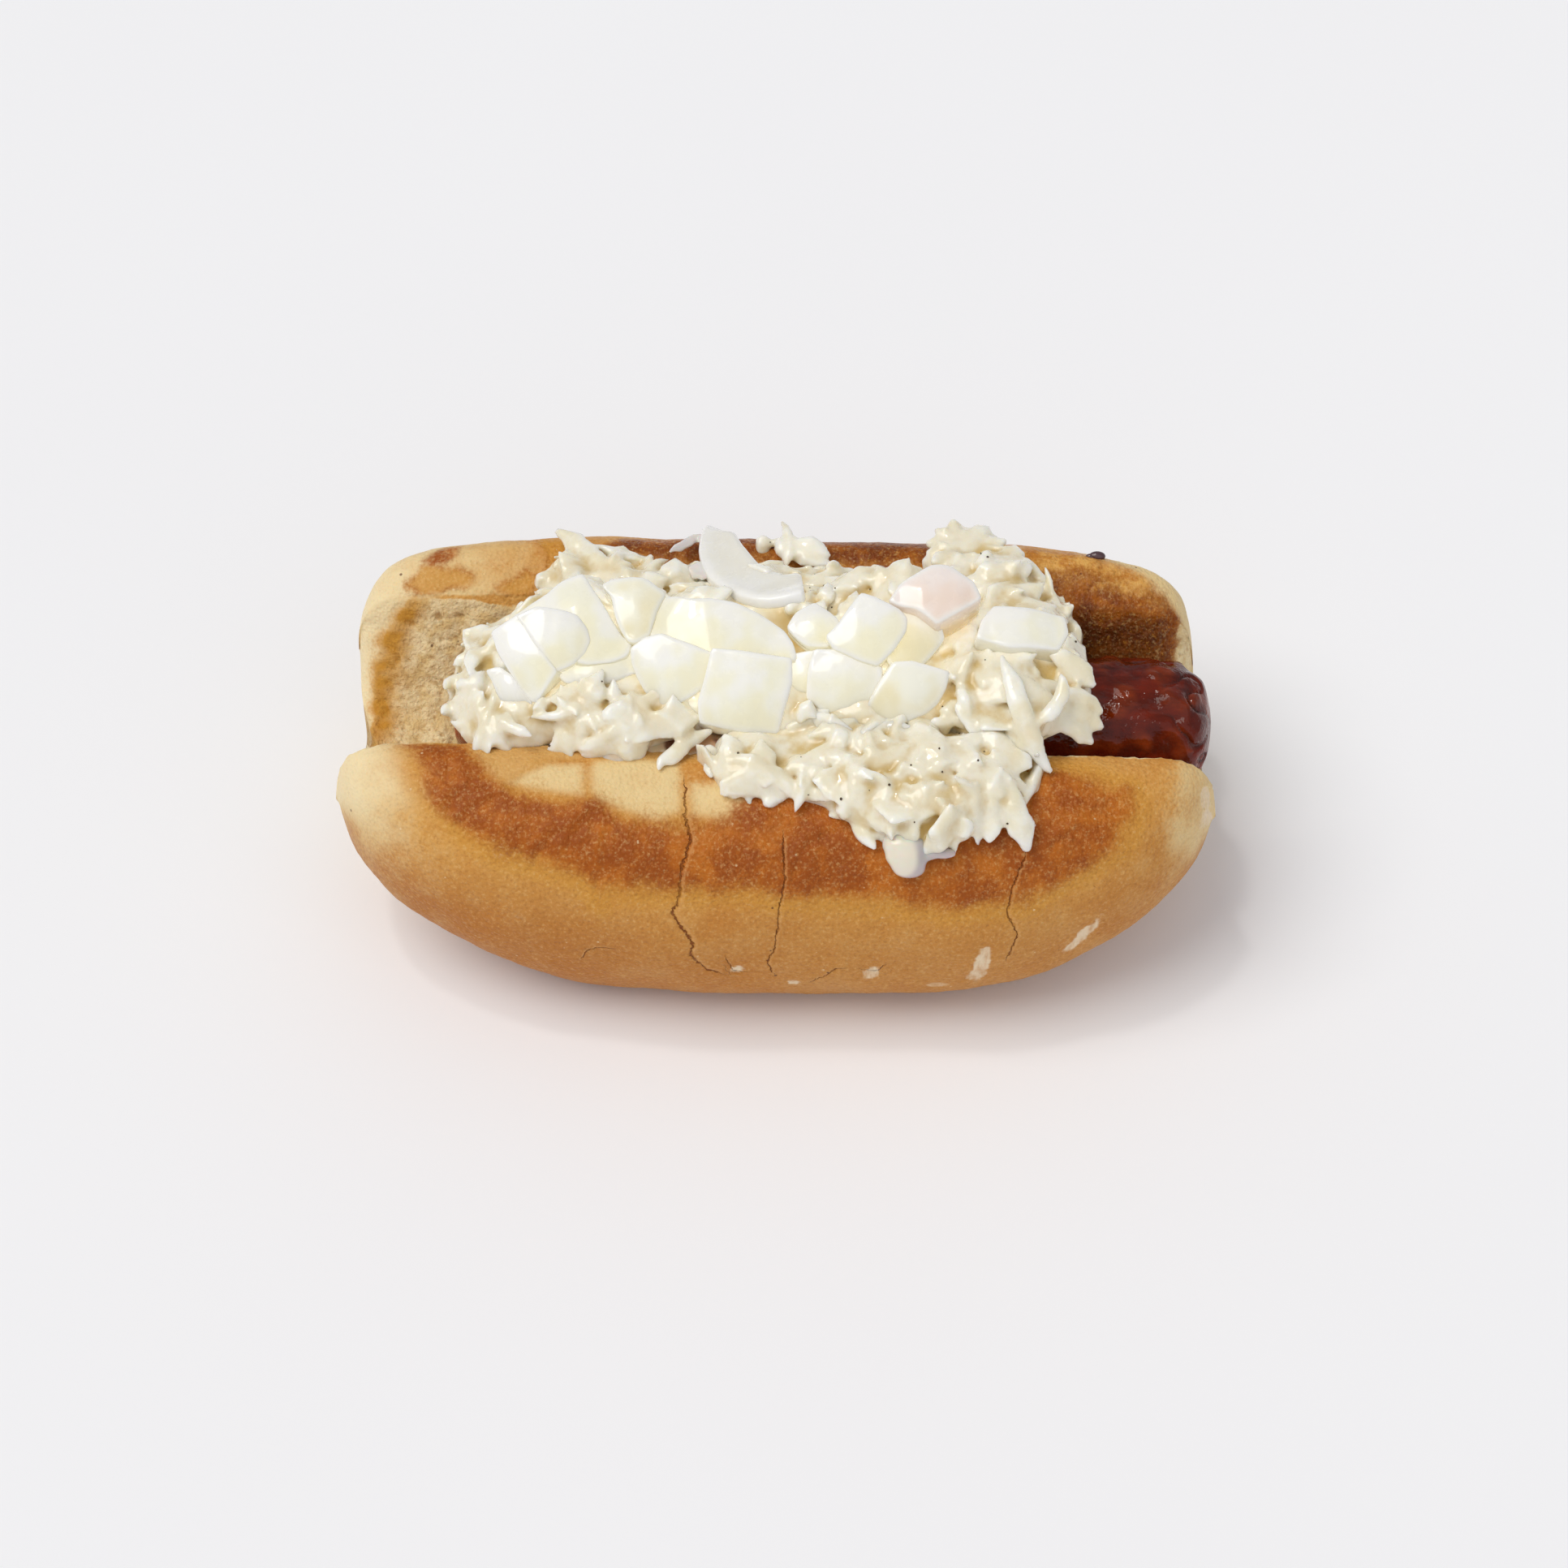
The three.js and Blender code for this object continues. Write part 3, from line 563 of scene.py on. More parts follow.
colour = baked.over(
    baked.blend(baked.range(patch, 0.35, 0.65), (203, 140, 64), (214, 156, 80)),
    (baked.range(drift, 0.4, 0.6, 0, 0.5), (220, 166, 86)),
    # painted shade, with the browner bake of the base, on the lower near crust
    (baked.times(baked.stored("low"), 0.8), (180, 108, 38)),
    (ragged("pale", 0.0, 1.05), (234, 206, 150)),
    # painted light on the upper left tip, over its pale crust
    (baked.times(baked.stored("bright"), 0.75), (248, 230, 188)),
    (baked.times(ragged("gold", 0.1, 1.0), 0.85), (208, 146, 54)),
    (ragged("toast", 0.05, 1.0), baked.blend(baked.stored("seared"), brown, seared)),
    (baked.range(grainy, 0.5, 0.75, 0, 0.34), (244, 206, 140)),
    (darker, (136, 70, 16)),
    (ragged("crumb", 0.3, 0.7), crumb_colour),
    (lip, (222, 168, 106)),
    (line, (132, 68, 22)),
    (baked.times(ragged("torn", 0.15, 0.8), streaks), (238, 214, 180)),
    (flour, (238, 212, 168)),
    (soot, (96, 50, 26)))
gloss = baked.sum(baked.range(fine, 0.3, 0.7, 0.42, 0.6), baked.times(baked.stored("seared"), 0.14), "SUBTRACT")
gloss = baked.sum(gloss, baked.times(baked.stored("crumb"), 0.35))
leathery = baked.times(baked.mottle(1.6, 4, 0.65, stretch=(1, 0.45, 0.45)), baked.stored("toast"))
baked.bumps((patch, 0.22), (leathery, 0.7), (grainy, 0.10), (baked.range(pebbles, 0.0, 0.7), 0.10), (fine, 0.06),
            (baked.times(baked.mottle(0.9, 4, 0.7), baked.stored("crumb")), 0.6),
            (baked.sum(1.0, dip, "SUBTRACT"), 0.25))
baked.done(bun, Base_Color=colour, Roughness=gloss)
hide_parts("bun")
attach(bun, "root")


# ==== Sausage ================================================================================
# A thick grilled sausage of fine meat in a natural casing. The skin has shrunk and wrinkled
# lengthwise, blistered in places, and folded in at its blunt end.

SAUSAGE_ENDS = (-57.5, 75.5)
SAUSAGE_AXIS = (3, 34)  # y and z
SAUSAGE_RADIUS = 11.4
SAUSAGE_ROUNDED, SAUSAGE_BLUNTNESS = 9, 2.6
SAUSAGE_RINGS, SAUSAGE_SIDES = 261, 160
FOLDED_END = (60, 72)  # where the folds of the end begin and are full


def capped_faces(count, size):
    """The faces of a closed body made of rings: its skin and a face over each end."""
    return ring_faces(count, size).tolist() + [
        list(range(size))[::-1], list(range((count - 1) * size, count * size))]


turn = np.linspace(0, np.pi, SAUSAGE_RINGS)
spaced = (0.5 * (1 - np.cos(turn)) + turn / np.pi) / 2  # rings crowd a little towards both ends
sx = SAUSAGE_ENDS[0] + (SAUSAGE_ENDS[1] - SAUSAGE_ENDS[0]) * (0.0004 + 0.9992 * spaced)
in_end = np.maximum(0, 1 - np.minimum(sx - SAUSAGE_ENDS[0], SAUSAGE_ENDS[1] - sx) / SAUSAGE_ROUNDED)
radius = SAUSAGE_RADIUS * rounding(in_end, SAUSAGE_BLUNTNESS)
SX, ANGLE = np.meshgrid(sx, -np.linspace(0, 2 * np.pi, SAUSAGE_SIDES, endpoint=False), indexing="ij")
skin = np.stack([
    SX,
    SAUSAGE_AXIS[0] - radius[:, None] * np.cos(ANGLE),
    SAUSAGE_AXIS[1] + radius[:, None] * np.sin(ANGLE),
], axis=-1)
lengthwise = skin / (4.0, 1.0, 1.0)
wrinkles = noise_at(lengthwise, 1.6, 4.0) + 0.5 * noise_at(lengthwise, 0.8, 9.0)
wrinkled = soft_step(noise_at(skin, 12, 31.0) + 0.7 * np.sin(-ANGLE - 0.9), -0.2, 0.6)
blisters = soft_step(noise_at(skin, 4.2, 14.0), 0.0, 0.45)
folds = soft_step(SX, *FOLDED_END)
creases = bell(np.abs(noise_at(skin, 5.0, 23.0)), 0.09) * (0.25 + 0.75 * folds)
swell = (0.8 * noise_at(skin, 9, 7.0) + 0.4 * blisters + 0.3 * noise_at(skin, 3.0, 51.0)
         - 0.3 * np.abs(wrinkles) * wrinkled)
swell -= (0.25 + 0.5 * folds) * creases
swell += folds * (1.3 * noise_at(skin, 5.0, 40.0) + 0.4 * noise_at(skin, 2.5, 3.0))
swell *= soft_step(radius, 0, 6)[:, None]
skin = skin + swell[..., None] * unit((skin - (0, *SAUSAGE_AXIS)) * (0, 1, 1))
sausage = solid_mesh("sausage_grilled", skin.reshape(-1, 3), capped_faces(*skin.shape[:2]))
keep_values(sausage, wrinkled=np.clip(np.abs(wrinkles) * wrinkled, 0, 1), folds=folds, blister=blisters,
            crease=creases, top=soft_step(skin[..., 2], 34, 45))

grilled = Finish("grilled_casing", Coat_Weight=0.7, Coat_Roughness=0.05, Coat_IOR=1.45, Subsurface_Weight=0.06,
                 Subsurface_Scale=0.002, Specular_IOR_Level=0.0)
cloud = grilled.mottle(3.0, 4, 0.6)
streak = grilled.mottle(1.0, 4, 0.6, stretch=(0.3, 1, 1))
colour = grilled.over(
    grilled.blend(grilled.range(cloud, 0.36, 0.62), (86, 14, 2), (128, 34, 4)),
    # painted highlight on the raised blisters
    (grilled.times(grilled.stored("blister"), 0.7), (166, 64, 14)),
    (grilled.times(grilled.stored("top"), grilled.range(streak, 0.3, 0.7, 0.35, 0.75)), (52, 8, 0)),
    # the wrinkled skin painted darker in its grooves: partly its charred colour, partly painted shade
    (grilled.range(grilled.stored("wrinkled"), 0.1, 0.5, 0, 0.8), (50, 10, 2)),
    # painted shade in the creases
    (grilled.range(grilled.stored("crease"), 0.3, 1.0, 0, 0.7), (36, 8, 4)),
    (grilled.times(grilled.stored("folds"), grilled.range(grilled.mottle(2.2, 3), 0.5, 0.6, 0, 0.5)), (92, 28, 16)))
pimples = grilled.times(grilled.mottle(0.7, 1, 0.5), grilled.range(cloud, 0.4, 0.6))
grilled.bumps((streak, 0.12), (pimples, 0.12), (cloud, 0.5))
grilled.done(sausage, Base_Color=colour, Roughness=grilled.range(grilled.mottle(1.2, 3), 0.35, 0.65, 0.2, 0.45))
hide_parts("sausage")
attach(sausage, "root")


# ==== Diced onion ============================================================================
# Raw white onion, cut coarsely: each piece is a slab of wet, half-clear flesh, a layer or two
# thick, with a slightly domed face and edges that the knife left crisp.

# Each piece: the middle of its upper face, how much the face leans up to the far side and rolls
# down to the right in degrees, its thickness, how far it is grown past its outline and lifted off
# its place, and the outline of the face, as (right, up the slope) from the middle.
DICE = [
    ((-5.5, -9.7, 53.8), 46, 0, 7, 0.45, 1,
     [(-5.5, 7), (-6.9, 1), (-7.7, -1.7), (-7.3, -5.2), (-0.9, -6.2), (5.4, -6.6), (6.6, -1.9), (7.4, 1.7),
      (7.3, 5.6), (1.4, 6.3)]),
    ((26.1, 4.6, 63.5), 18, 0, 7.5, 0.45, 0.6,
     [(-0.3, 5.1), (2.2, 5.2), (6.2, 2.4), (7.6, -0.5), (4.9, -2.5), (0.5, -5.3), (-2.9, -2.7), (-5.3, -2.1),
      (-7.5, -1.2), (-5.5, 1.6)]),
    ((15.4, -1.1, 60.4), 30, 0, 7, 0.45, 0.6,
     [(-1.7, 6.1), (0.5, 5.5), (4.5, 3.5), (5.8, 2), (5.7, 0), (3.8, -3), (1.1, -5.8), (-1.7, -5.1), (-5.8, -3.1),
      (-7.1, -1.1), (-5.1, 1)]),
    ((41.3, 1.3, 59.5), 14, 8, 6.5, 0.45, 0,
     [(-4.9, 3.4), (0.8, 3.4), (6.8, 2.8), (7.5, -0.1), (6, -3.3), (-2, -3.9), (-7.6, -2.9), (-6.7, 0.6)]),
    ((11.1, -8.3, 54.4), 45, -4, 6.5, 0.9, 0,
     [(-4.4, 5.6), (-1.2, 5.3), (1.2, 4.1), (5.7, 2.5), (5.5, 0.4), (4.2, -2.4), (2.5, -6.3), (0.1, -5.4),
      (-2.7, -4.1), (-5.7, -1.7), (-5.3, 2)]),
    ((21.2, -9.4, 53.1), 44, 4, 6, 0.45, 0.8,
     [(-2.2, 5.2), (1.2, 5.8), (7.1, 4.5), (6.5, 1.6), (5.3, -0.8), (3.8, -2.3), (0.2, -4), (-5.1, -5.3), (-6.8, -4),
      (-5.8, -2), (-4.3, 1.4)]),
    ((22.2, -0.9, 58.4), 32, 0, 6, 0.9, 0,
     [(-1.5, 5.2), (0, 5.5), (4.2, 3), (5, 0.2), (1.6, -4.1), (0.1, -4.3), (-2.7, -4.4), (-3.5, -3), (-1.2, 0),
      (-2, 2)]),
    ((-37.5, -2.1, 59.1), 32, 4, 5, 0.45, 0,
     [(-7, 2.7), (-3.6, 4.4), (-0.4, 4), (2.8, 3.3), (4.5, 1.4), (5.1, -0.6), (4.4, -2.9), (2.6, -4.6), (0, -6.2),
      (-3.1, -2.4), (-5.4, 0.9)]),
    ((-18.3, -6.8, 55.5), 42, -8, 6, 0.45, 0,
     [(-6.3, 4.2), (-3.8, 5.8), (-1, 6.1), (1.7, 4.8), (4.9, 3.3), (7.6, 2.3), (7.1, -1.2), (5.5, -2.6), (3.4, -4),
      (1, -5.2), (-1.2, -6), (-2.9, -5.3), (-4.1, -3.4), (-5.5, -0.6), (-6.3, 1.8)]),
    ((-10.7, 0.7, 59.3), 24, 0, 4.5, 1, -0.3,
     [(-11.5, -1.5), (-11.2, 0.2), (-9.9, 2.8), (-8.3, 4.5), (-6.2, 4.8), (-4.2, 4), (-0.9, 3.9), (2.7, 3.1),
      (6, 1.9), (8.5, 0.6), (10.5, -0.6), (12.2, -2.8), (13, -5.5), (6.6, -6.4), (-0.2, -5.6), (-7.2, -3.4)]),
    ((-25.3, 3.2, 60.5), 24, 0, 5.5, 0.45, 0.4,
     [(-4.9, 3.7), (-3.2, 4.9), (-0.5, 5.1), (2.3, 4.8), (5.5, 2.6), (4, -0.7), (3, -4.6), (1, -6.1), (-0.2, -5.9),
      (-1.5, -3.8), (-2.4, -1.7), (-3.1, 1.6)]),
    ((-34.3, 1.7, 59.3), 20, 0, 5, 1, -0.4,
     [(-1.9, 6.7), (0.1, 7.7), (1.3, 5.7), (2.6, 3.6), (4.8, -0.3), (6.8, -2.8), (8.4, -4), (7.8, -6.1), (5.5, -7.1),
      (1.5, -7.5), (-2.8, -6), (-7.8, -2.3), (-10.3, 0.3), (-7.6, 2.1), (-4.9, 3.9), (-3.4, 5.8)]),
    ((-43.3, -5.2, 55.4), 38, -22, 5, 0.45, 0.3,
     [(-4.6, 6.2), (0.8, 7.8), (1.8, 5.6), (3.3, 1.8), (5.2, -2.7), (3.8, -4), (0.7, -7), (-0.1, -6.6), (-1.2, -4.8),
      (-2.2, -1.7), (-3.6, 1.9), (-4, 3.4)]),
    ((4.2, -6.6, 53.4), 40, 0, 5, 1, -0.4,
     [(-1.9, 3.5), (2.2, 4.8), (1.9, 1.3), (1.4, -2.5), (0.3, -3.7), (-1.3, -2.5), (-2.6, -0.9)]),
    ((-30.3, -5.8, 54.7), 34, 0, 3.5, 0.9, -0.2,
     [(-6.3, 0.1), (-4.1, 1.4), (-0.2, 2), (4.6, 2.7), (6.1, 2), (6.6, -0.1), (4.2, -0.7), (1.5, -1.6), (-1.7, -1.9),
      (-4.8, -2.3), (-6, -1.5)]),
    ((5.2, 1.4, 58.8), 18, 0, 3.5, 0.9, -0.2,
     [(-1.9, 2.2), (0.6, 3.8), (4.1, 0.8), (2.7, -2.9), (-0.1, -2.7), (-2.1, -1.1), (-3.2, -0.1)]),
    ((-45.6, -8.3, 51.3), 42, -22, 2.2, 0.45, 0.2,
     [(-3.3, 4.3), (-0.9, 4.2), (1.2, 1.8), (2.6, -0.8), (3.3, -3), (1.6, -3.2), (-0.8, -3.1), (-1.5, -1.6),
      (-2.2, 1.4)]),
]
YELLOWISH, PINKISH = (7, 8, 12), (3,)  # numbers of the pieces with older or pink flesh
CORNER_RADIUS, EDGE_RADIUS = 0.45, 0.28
ROUND_POINTS = 72
# From the underside up: how far each ring of a slab is drawn in, and its depth as a share of the
# thickness plus a length. The walls bulge between two layers of the onion.
WALL_RINGS = (
    (2.0, 1, 0), (0.5, 1, 0), (0.12, 1, -0.12), (0, 1, -0.5), (0, 0.8, 0), (0.05, 0.62, 0), (0.16, 0.56, 0),
    (0.05, 0.5, 0), (0, 0.35, 0), (0, 0, 1.2), (0, 0, EDGE_RADIUS), (0.13, 0, 0.13), (EDGE_RADIUS, 0, 0), (0.9, 0, 0))
RIM_RING = 11.5
FACE_SHARES = (0.92, 0.84, 0.75, 0.65, 0.55, 0.45, 0.35, 0.25, 0.15, 0.06)


def rounded_outline(outline):
    """A closed outline with each corner turned into a small curve, evenly spaced."""
    corners = np.array(outline, float)[::-1]
    path = []
    for before, corner, after in zip(np.roll(corners, 1, 0), corners, np.roll(corners, -1, 0)):
        cuts = [corner + (other - corner) * min(0.4, CORNER_RADIUS / np.linalg.norm(other - corner))
                for other in (before, after)]
        for w in np.linspace(0, 1, 6):
            path.append((1 - w) ** 2 * cuts[0] + 2 * w * (1 - w) * corner + w * w * cuts[1])
    path = np.array(path + path[:1])
    lengths = np.concatenate([[0], np.cumsum(np.linalg.norm(np.diff(path, axis=0), axis=1))])
    places = np.linspace(0, lengths[-1], ROUND_POINTS, endpoint=False)
    return np.stack([np.interp(places, lengths, axis) for axis in path.T], axis=1)


def onion_slab(name, seed, at, lean, roll, thick, grown, lift, outline):
    """A slab whose walls lean a little, with rounded edges and a domed upper face."""
    edge = rounded_outline(outline)
    middle = edge.mean(0)
    reach = np.linalg.norm(edge - middle, axis=1, keepdims=True)
    rings = []
    for inset, share, length in WALL_RINGS:
        width = 1 - np.minimum((inset - grown) / reach, 0.6)
        depth = np.full((ROUND_POINTS, 1), -(thick * share + length))
        rings.append(np.concatenate([middle + (edge - middle) * width, depth], axis=1))
    top = rings[-1]
    rings += [top * (share, share, 1) + np.append(middle * (1 - share), 0) for share in FACE_SHARES]
    points = np.array(rings)
    size = reach.mean()
    off = points[..., :2] - middle
    # How far down the slab each point lies, for the painted shade low on its walls.
    depth = np.clip(-points[..., 2] / thick, 0, 1)
    # Painted highlight along the rounded upper edge of the slab.
    rim = bell(points[..., 2] + EDGE_RADIUS / 2, 0.5) * bell(np.arange(len(rings)) - RIM_RING, 1.2)[:, None]
    # Painted shade: the face is painted yellower towards its lower side.
    fall = np.clip(0.5 - off[..., 1] / size / 1.6, 0, 1)
    dome = 0.8 * np.maximum(-0.2, 1 - (off**2).sum(-1) / size**2)
    points[..., 2] += dome * np.clip(1 + points[..., 2] / thick, 0, 1)
    points += 0.22 * np.stack([noise_at(points, 5, seed + 10 * k) for k in range(3)], axis=-1)
    points[..., 2] += 0.02 * np.sin(2.2 * off[..., 0] + 1.4 * noise_at(points, 6, seed))
    turn = Matrix.Rotation(math.radians(roll), 3, "Y") @ Matrix.Rotation(math.radians(lean), 3, "X")
    turned = (points.reshape(-1, 3) + (0, 0, lift)) @ np.array(turn).T + at
    slab = solid_mesh(name, turned, capped_faces(len(rings), ROUND_POINTS))
    keep_values(slab, depth=depth, rim=rim, fall=fall)
    return slab


def onion_flesh(name, cloudy, clear, wall=(250, 244, 222)):
    """Wet, half-clear onion, in the colours of its cloudy flesh, its clear flesh and the painted shade low on its
    walls.
    """
    wet = Finish(name, Subsurface_Weight=0.5, Subsurface_Radius=(1.0, 0.98, 0.85), Subsurface_Scale=0.003,
                 Coat_Weight=0.8, Coat_Roughness=0.04, IOR=1.38)
    fibres = wet.mottle(0.8, 3, stretch=(0.25, 1, 1))
    # The clear flesh shows in random patches and, as painted shade, towards the lower side of the face.
    clearness = wet.sum(wet.times(wet.stored("fall"), 0.6), wet.range(wet.mottle(4.5, 2), 0.35, 0.65, -0.15, 0.5))
    colour = wet.over(
        wet.blend(wet.range(clearness, 0, 1), cloudy, clear),
        # painted shade, warm and yellow, low on the walls
        (wet.range(wet.stored("depth"), 0.1, 0.8, 0, 0.85), wall),
        # painted highlight along the edges
        (wet.times(wet.stored("rim"), 0.7), (254, 254, 250)))
    wet.bumps((fibres, 0.015), (wet.mottle(3.5, 1), 0.12))
    return wet.done(Roughness=wet.range(wet.mottle(1.5, 3), 0.35, 0.65, 0.14, 0.34), Base_Color=colour)


white_onion = onion_flesh("white_onion", (253, 251, 242), (249, 242, 214))
yellow_onion = onion_flesh("yellowish_onion", (250, 247, 232), (240, 230, 192))
pink_onion = onion_flesh("pinkish_onion", (249, 236, 230), (243, 224, 210), (232, 206, 150))
onions = []
for number, sizes in enumerate(DICE, start=2):
    slab = onion_slab(f"onion_{number:02d}_cut", number, *sizes)
    slab.data.materials.append(
        pink_onion if number in PINKISH else yellow_onion if number in YELLOWISH else white_onion)
    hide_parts(f"onion_{number:02d}")
    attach(slab, "root")
    slab.visible_shadow = False  # light passes through the flesh
    onions.append(slab)


# ==== Onion crescent =========================================================================
# A slice across an onion ring: a flat crescent, thicker along its two skins than between them,
# lying from the far rim up onto the heap.

CRESCENT_PATH = [(-11.4, 30, 51.3), (-10.6, 23.4, 53.2), (-7.4, 15.6, 55.4), (-1.6, 10.8, 57.4), (3.8, 11.2, 58.2)]
CRESCENT_SIDE = np.array([1, 0.75, -0.1])
CRESCENT_WIDTH, CRESCENT_THICK = 9.4, 2.8
CRESCENT_TIP = 0.62  # width of the upper end, as a share of the full width
CRESCENT_RINGS, CRESCENT_SIDES = 70, 48

t = np.linspace(0, 1, CRESCENT_RINGS)
finely = np.linspace(0, 1, 400)
middle_line = np.stack([np.interp(t, finely, axis) for axis in along_curve(CRESCENT_PATH, finely)[0].T], axis=1)
heading = unit(np.gradient(middle_line, axis=0))
sideways = unit(CRESCENT_SIDE - heading * (heading @ CRESCENT_SIDE)[:, None])
upward = np.cross(heading, sideways)
section = np.linspace(0, 2 * np.pi, CRESCENT_SIDES, endpoint=False)
flat = np.sign(np.cos(section)) * np.abs(np.cos(section)) ** 0.45  # a rounded rectangle
tall = np.sign(np.sin(section)) * np.abs(np.sin(section)) ** 0.45
tall = tall * (1 - 0.16 * np.exp(-(flat / 0.62) ** 4))
wide = CRESCENT_WIDTH * (CRESCENT_TIP + (1 - CRESCENT_TIP) * np.sin(np.pi * np.minimum(0.5, t)))
ends = np.minimum(1, np.minimum(t, 1 - t) / 0.03) ** 0.5 * 0.25 + 0.75
slant = -2.2 * np.exp(-t / 0.15)[:, None] * (0.6 - flat)  # the left corner of the upper end is drawn out
crescent_points = (middle_line[:, None, :] + heading[:, None, :] * slant[..., None]
                   + sideways[:, None, :] * (wide * ends)[:, None, None] * flat[None, :, None] / 2
                   + upward[:, None, :] * CRESCENT_THICK * ends[:, None, None] * tall[None, :, None] / 2)
crescent = solid_mesh("onion_crescent", crescent_points.reshape(-1, 3), capped_faces(CRESCENT_RINGS, CRESCENT_SIDES))
one = np.ones((len(t), 1))
# On the crescent, one side is painted yellower as painted shade, and its two long edges get a painted highlight.
keep_values(crescent, depth=0 * one * flat, fall=one * (0.5 + 0.8 * soft_step(flat, -0.5, 0.6)),
            rim=one * np.abs(flat) ** 5)
crescent.data.materials.append(onion_flesh("clear_onion", (254, 252, 244), (243, 240, 228)))
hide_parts("onion_01")
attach(crescent, "root")
crescent.visible_shadow = False
onions.append(crescent)


# ==== Slaw ===================================================================================
# White cabbage chopped into short ragged flakes and tossed in thick cream dressing, which rounds
# every edge and joins the flakes. It's spooned along the sausage, over both rims and down the near
# side, and holds in four heaps that run into each other, plus a scrap that fell on the far rim.

SLAW_HEAPS = {  # the mounds under each heap, as (centre, radii)
    "slaw_left": [
        ((-44, -2.2, 45), (11.5, 13.3, 7)), ((-27, 0.7, 46.5), (22, 17.5, 7.5)), ((-30, 6, 50), (17, 8.5, 7)),
        ((-33, 21, 47), (8, 7, 3.6)), ((-22, 18.5, 47.5), (8, 6.5, 4.5))],
    "slaw_middle": [
        ((-4, 4, 48), (22, 18.5, 7)), ((-4, 9, 50), (17, 8, 7)), ((-4, 15.5, 46.5), (6.5, 5, 4)),
        ((10, 16.5, 47.5), (8, 6.2, 5))],
    "slaw_right": [
        ((18, 4, 48), (22, 19, 7.5)), ((38, 2, 47.5), (14, 18, 8)), ((20, 9, 50), (17, 9, 7.5)),
        ((36, 19.5, 48.5), (9.5, 8.5, 4.5)), ((31.5, 28.5, 48.6), (5, 5, 2.4))],
    "slaw_spill": [
        ((-3, -17, 45.5), (8, 8, 4.5)), ((12, -18, 45.5), (14, 10, 4.5)), ((27, -20, 44.5), (16, 12, 5.5)),
        ((23, -28, 42.5), (8.5, 6, 3.6)), ((37.5, -23.5, 43.5), (4, 4.5, 2.6))],
}
SLAW_SCRAP = [
    ((-0.6, 31.6, 48.6), (2.4, 1.8, 1.4)), ((2.4, 29.8, 48.8), (2.9, 2.2, 1.6)), ((5.2, 27.8, 48.6), (2.2, 2.3, 1.3))]
SLAW_GRID, CORE_GRID = 0.36, 1.2
SPILL_START, SPILL_EDGE = -20, 41.2  # past this y on the near side, no flake hangs lower than this height
EASED = -0.7  # how far the outer points of a flake may reach into an onion piece
BURIED, OVERHANG = 0.95, -0.3  # flakes stay off what another mound covers and off steep undersides
SLAW_SMOOTHING = 8
DRESSING_FILLS = ((6, 0.85), (20, 0.7))  # how wide a crease is looked for, and how much of it is filled
HOLLOW_WIDTH, HOLLOW_DEPTH = 50, 1.2

def points_of(thing):
    """The vertices of an object, in mm."""
    numbers = np.empty(len(thing.data.vertices) * 3, np.float32)
    thing.data.vertices.foreach_get("co", numbers)
    return numbers.reshape(-1, 3).astype(float) / MM


def normals_of(thing):
    """The direction that each vertex of an object faces."""
    numbers = np.empty(len(thing.data.vertices) * 3, np.float32)
    thing.data.vertex_normals.foreach_get("vector", numbers)
    return numbers.reshape(-1, 3).astype(float)


def place_points(thing, points_mm):
    """Moves the vertices of an object to points in mm."""
    thing.data.vertices.foreach_set("co", (points_mm * MM).astype(np.float32).ravel())
    thing.data.update()


def swollen(thing, heights):
    """Moves each vertex of an object outwards by its height in mm."""
    place_points(thing, points_of(thing) + normals_of(thing) * heights[:, None])


def joined(name, parts):
    """One object from several bodies, each given as its points and faces."""
    firsts = np.cumsum([0] + [len(points) for points, _ in parts]).tolist()
    faces = [[first + v for v in side] for first, (_, sides) in zip(firsts, parts) for side in sides]
    return solid_mesh(name, np.concatenate([points for points, _ in parts]), faces)


def fused(thing, grid_mm, smoothing=0):
    """Melts the bodies of an object into one skin on a fine grid, and smooths it a number of times."""
    melt = thing.modifiers.new("melt", "REMESH")
    melt.mode, melt.voxel_size = "VOXEL", grid_mm * MM
    if smoothing:
        smooth = thing.modifiers.new("smooth", "SMOOTH")
        smooth.iterations, smooth.factor = smoothing, 0.5
    melted = bpy.data.meshes.new_from_object(thing.evaluated_get(bpy.context.evaluated_depsgraph_get()))
    thing.modifiers.clear()
    thing.data = melted
    melted.polygons.foreach_set("use_smooth", np.ones(len(melted.polygons), bool))


rng = np.random.default_rng(7)
onion_tree = BVHTree.FromPolygons(
    [tuple(p) for dice in onions for p in points_of(dice)],
    [tuple(first + v for v in face.vertices)
     for dice, first in zip(onions, np.cumsum([0] + [len(d.data.vertices) for d in onions[:-1]]).tolist())
     for face in dice.data.polygons])


def clear_of_onion(point, gap):
    """True if a point in mm is outside the onion pieces by more than the gap, and not right above one."""
    nearest, normal, _, away = onion_tree.find_nearest(Vector(point))
    outside = away > 4 or (Vector(point) - nearest).dot(normal) > 0
    under = onion_tree.ray_cast(Vector(point) + Vector((0, 0, 0.1)), Vector((0, 0, -1)), 6)[0]
    return (away if outside else -away) > gap and (under is None or not outside)


def ball(centre, radii, across=24, up=14):
    """Points and faces of an ellipsoid."""
    u, v = np.meshgrid(np.linspace(0.02, np.pi - 0.02, up), np.linspace(0, 2 * np.pi, across, endpoint=False),
                       indexing="ij")
    sphere = np.stack([np.sin(u) * np.cos(v), np.sin(u) * np.sin(v), -np.cos(u)], axis=-1)
    return (sphere * radii + centre).reshape(-1, 3), capped_faces(up, across)


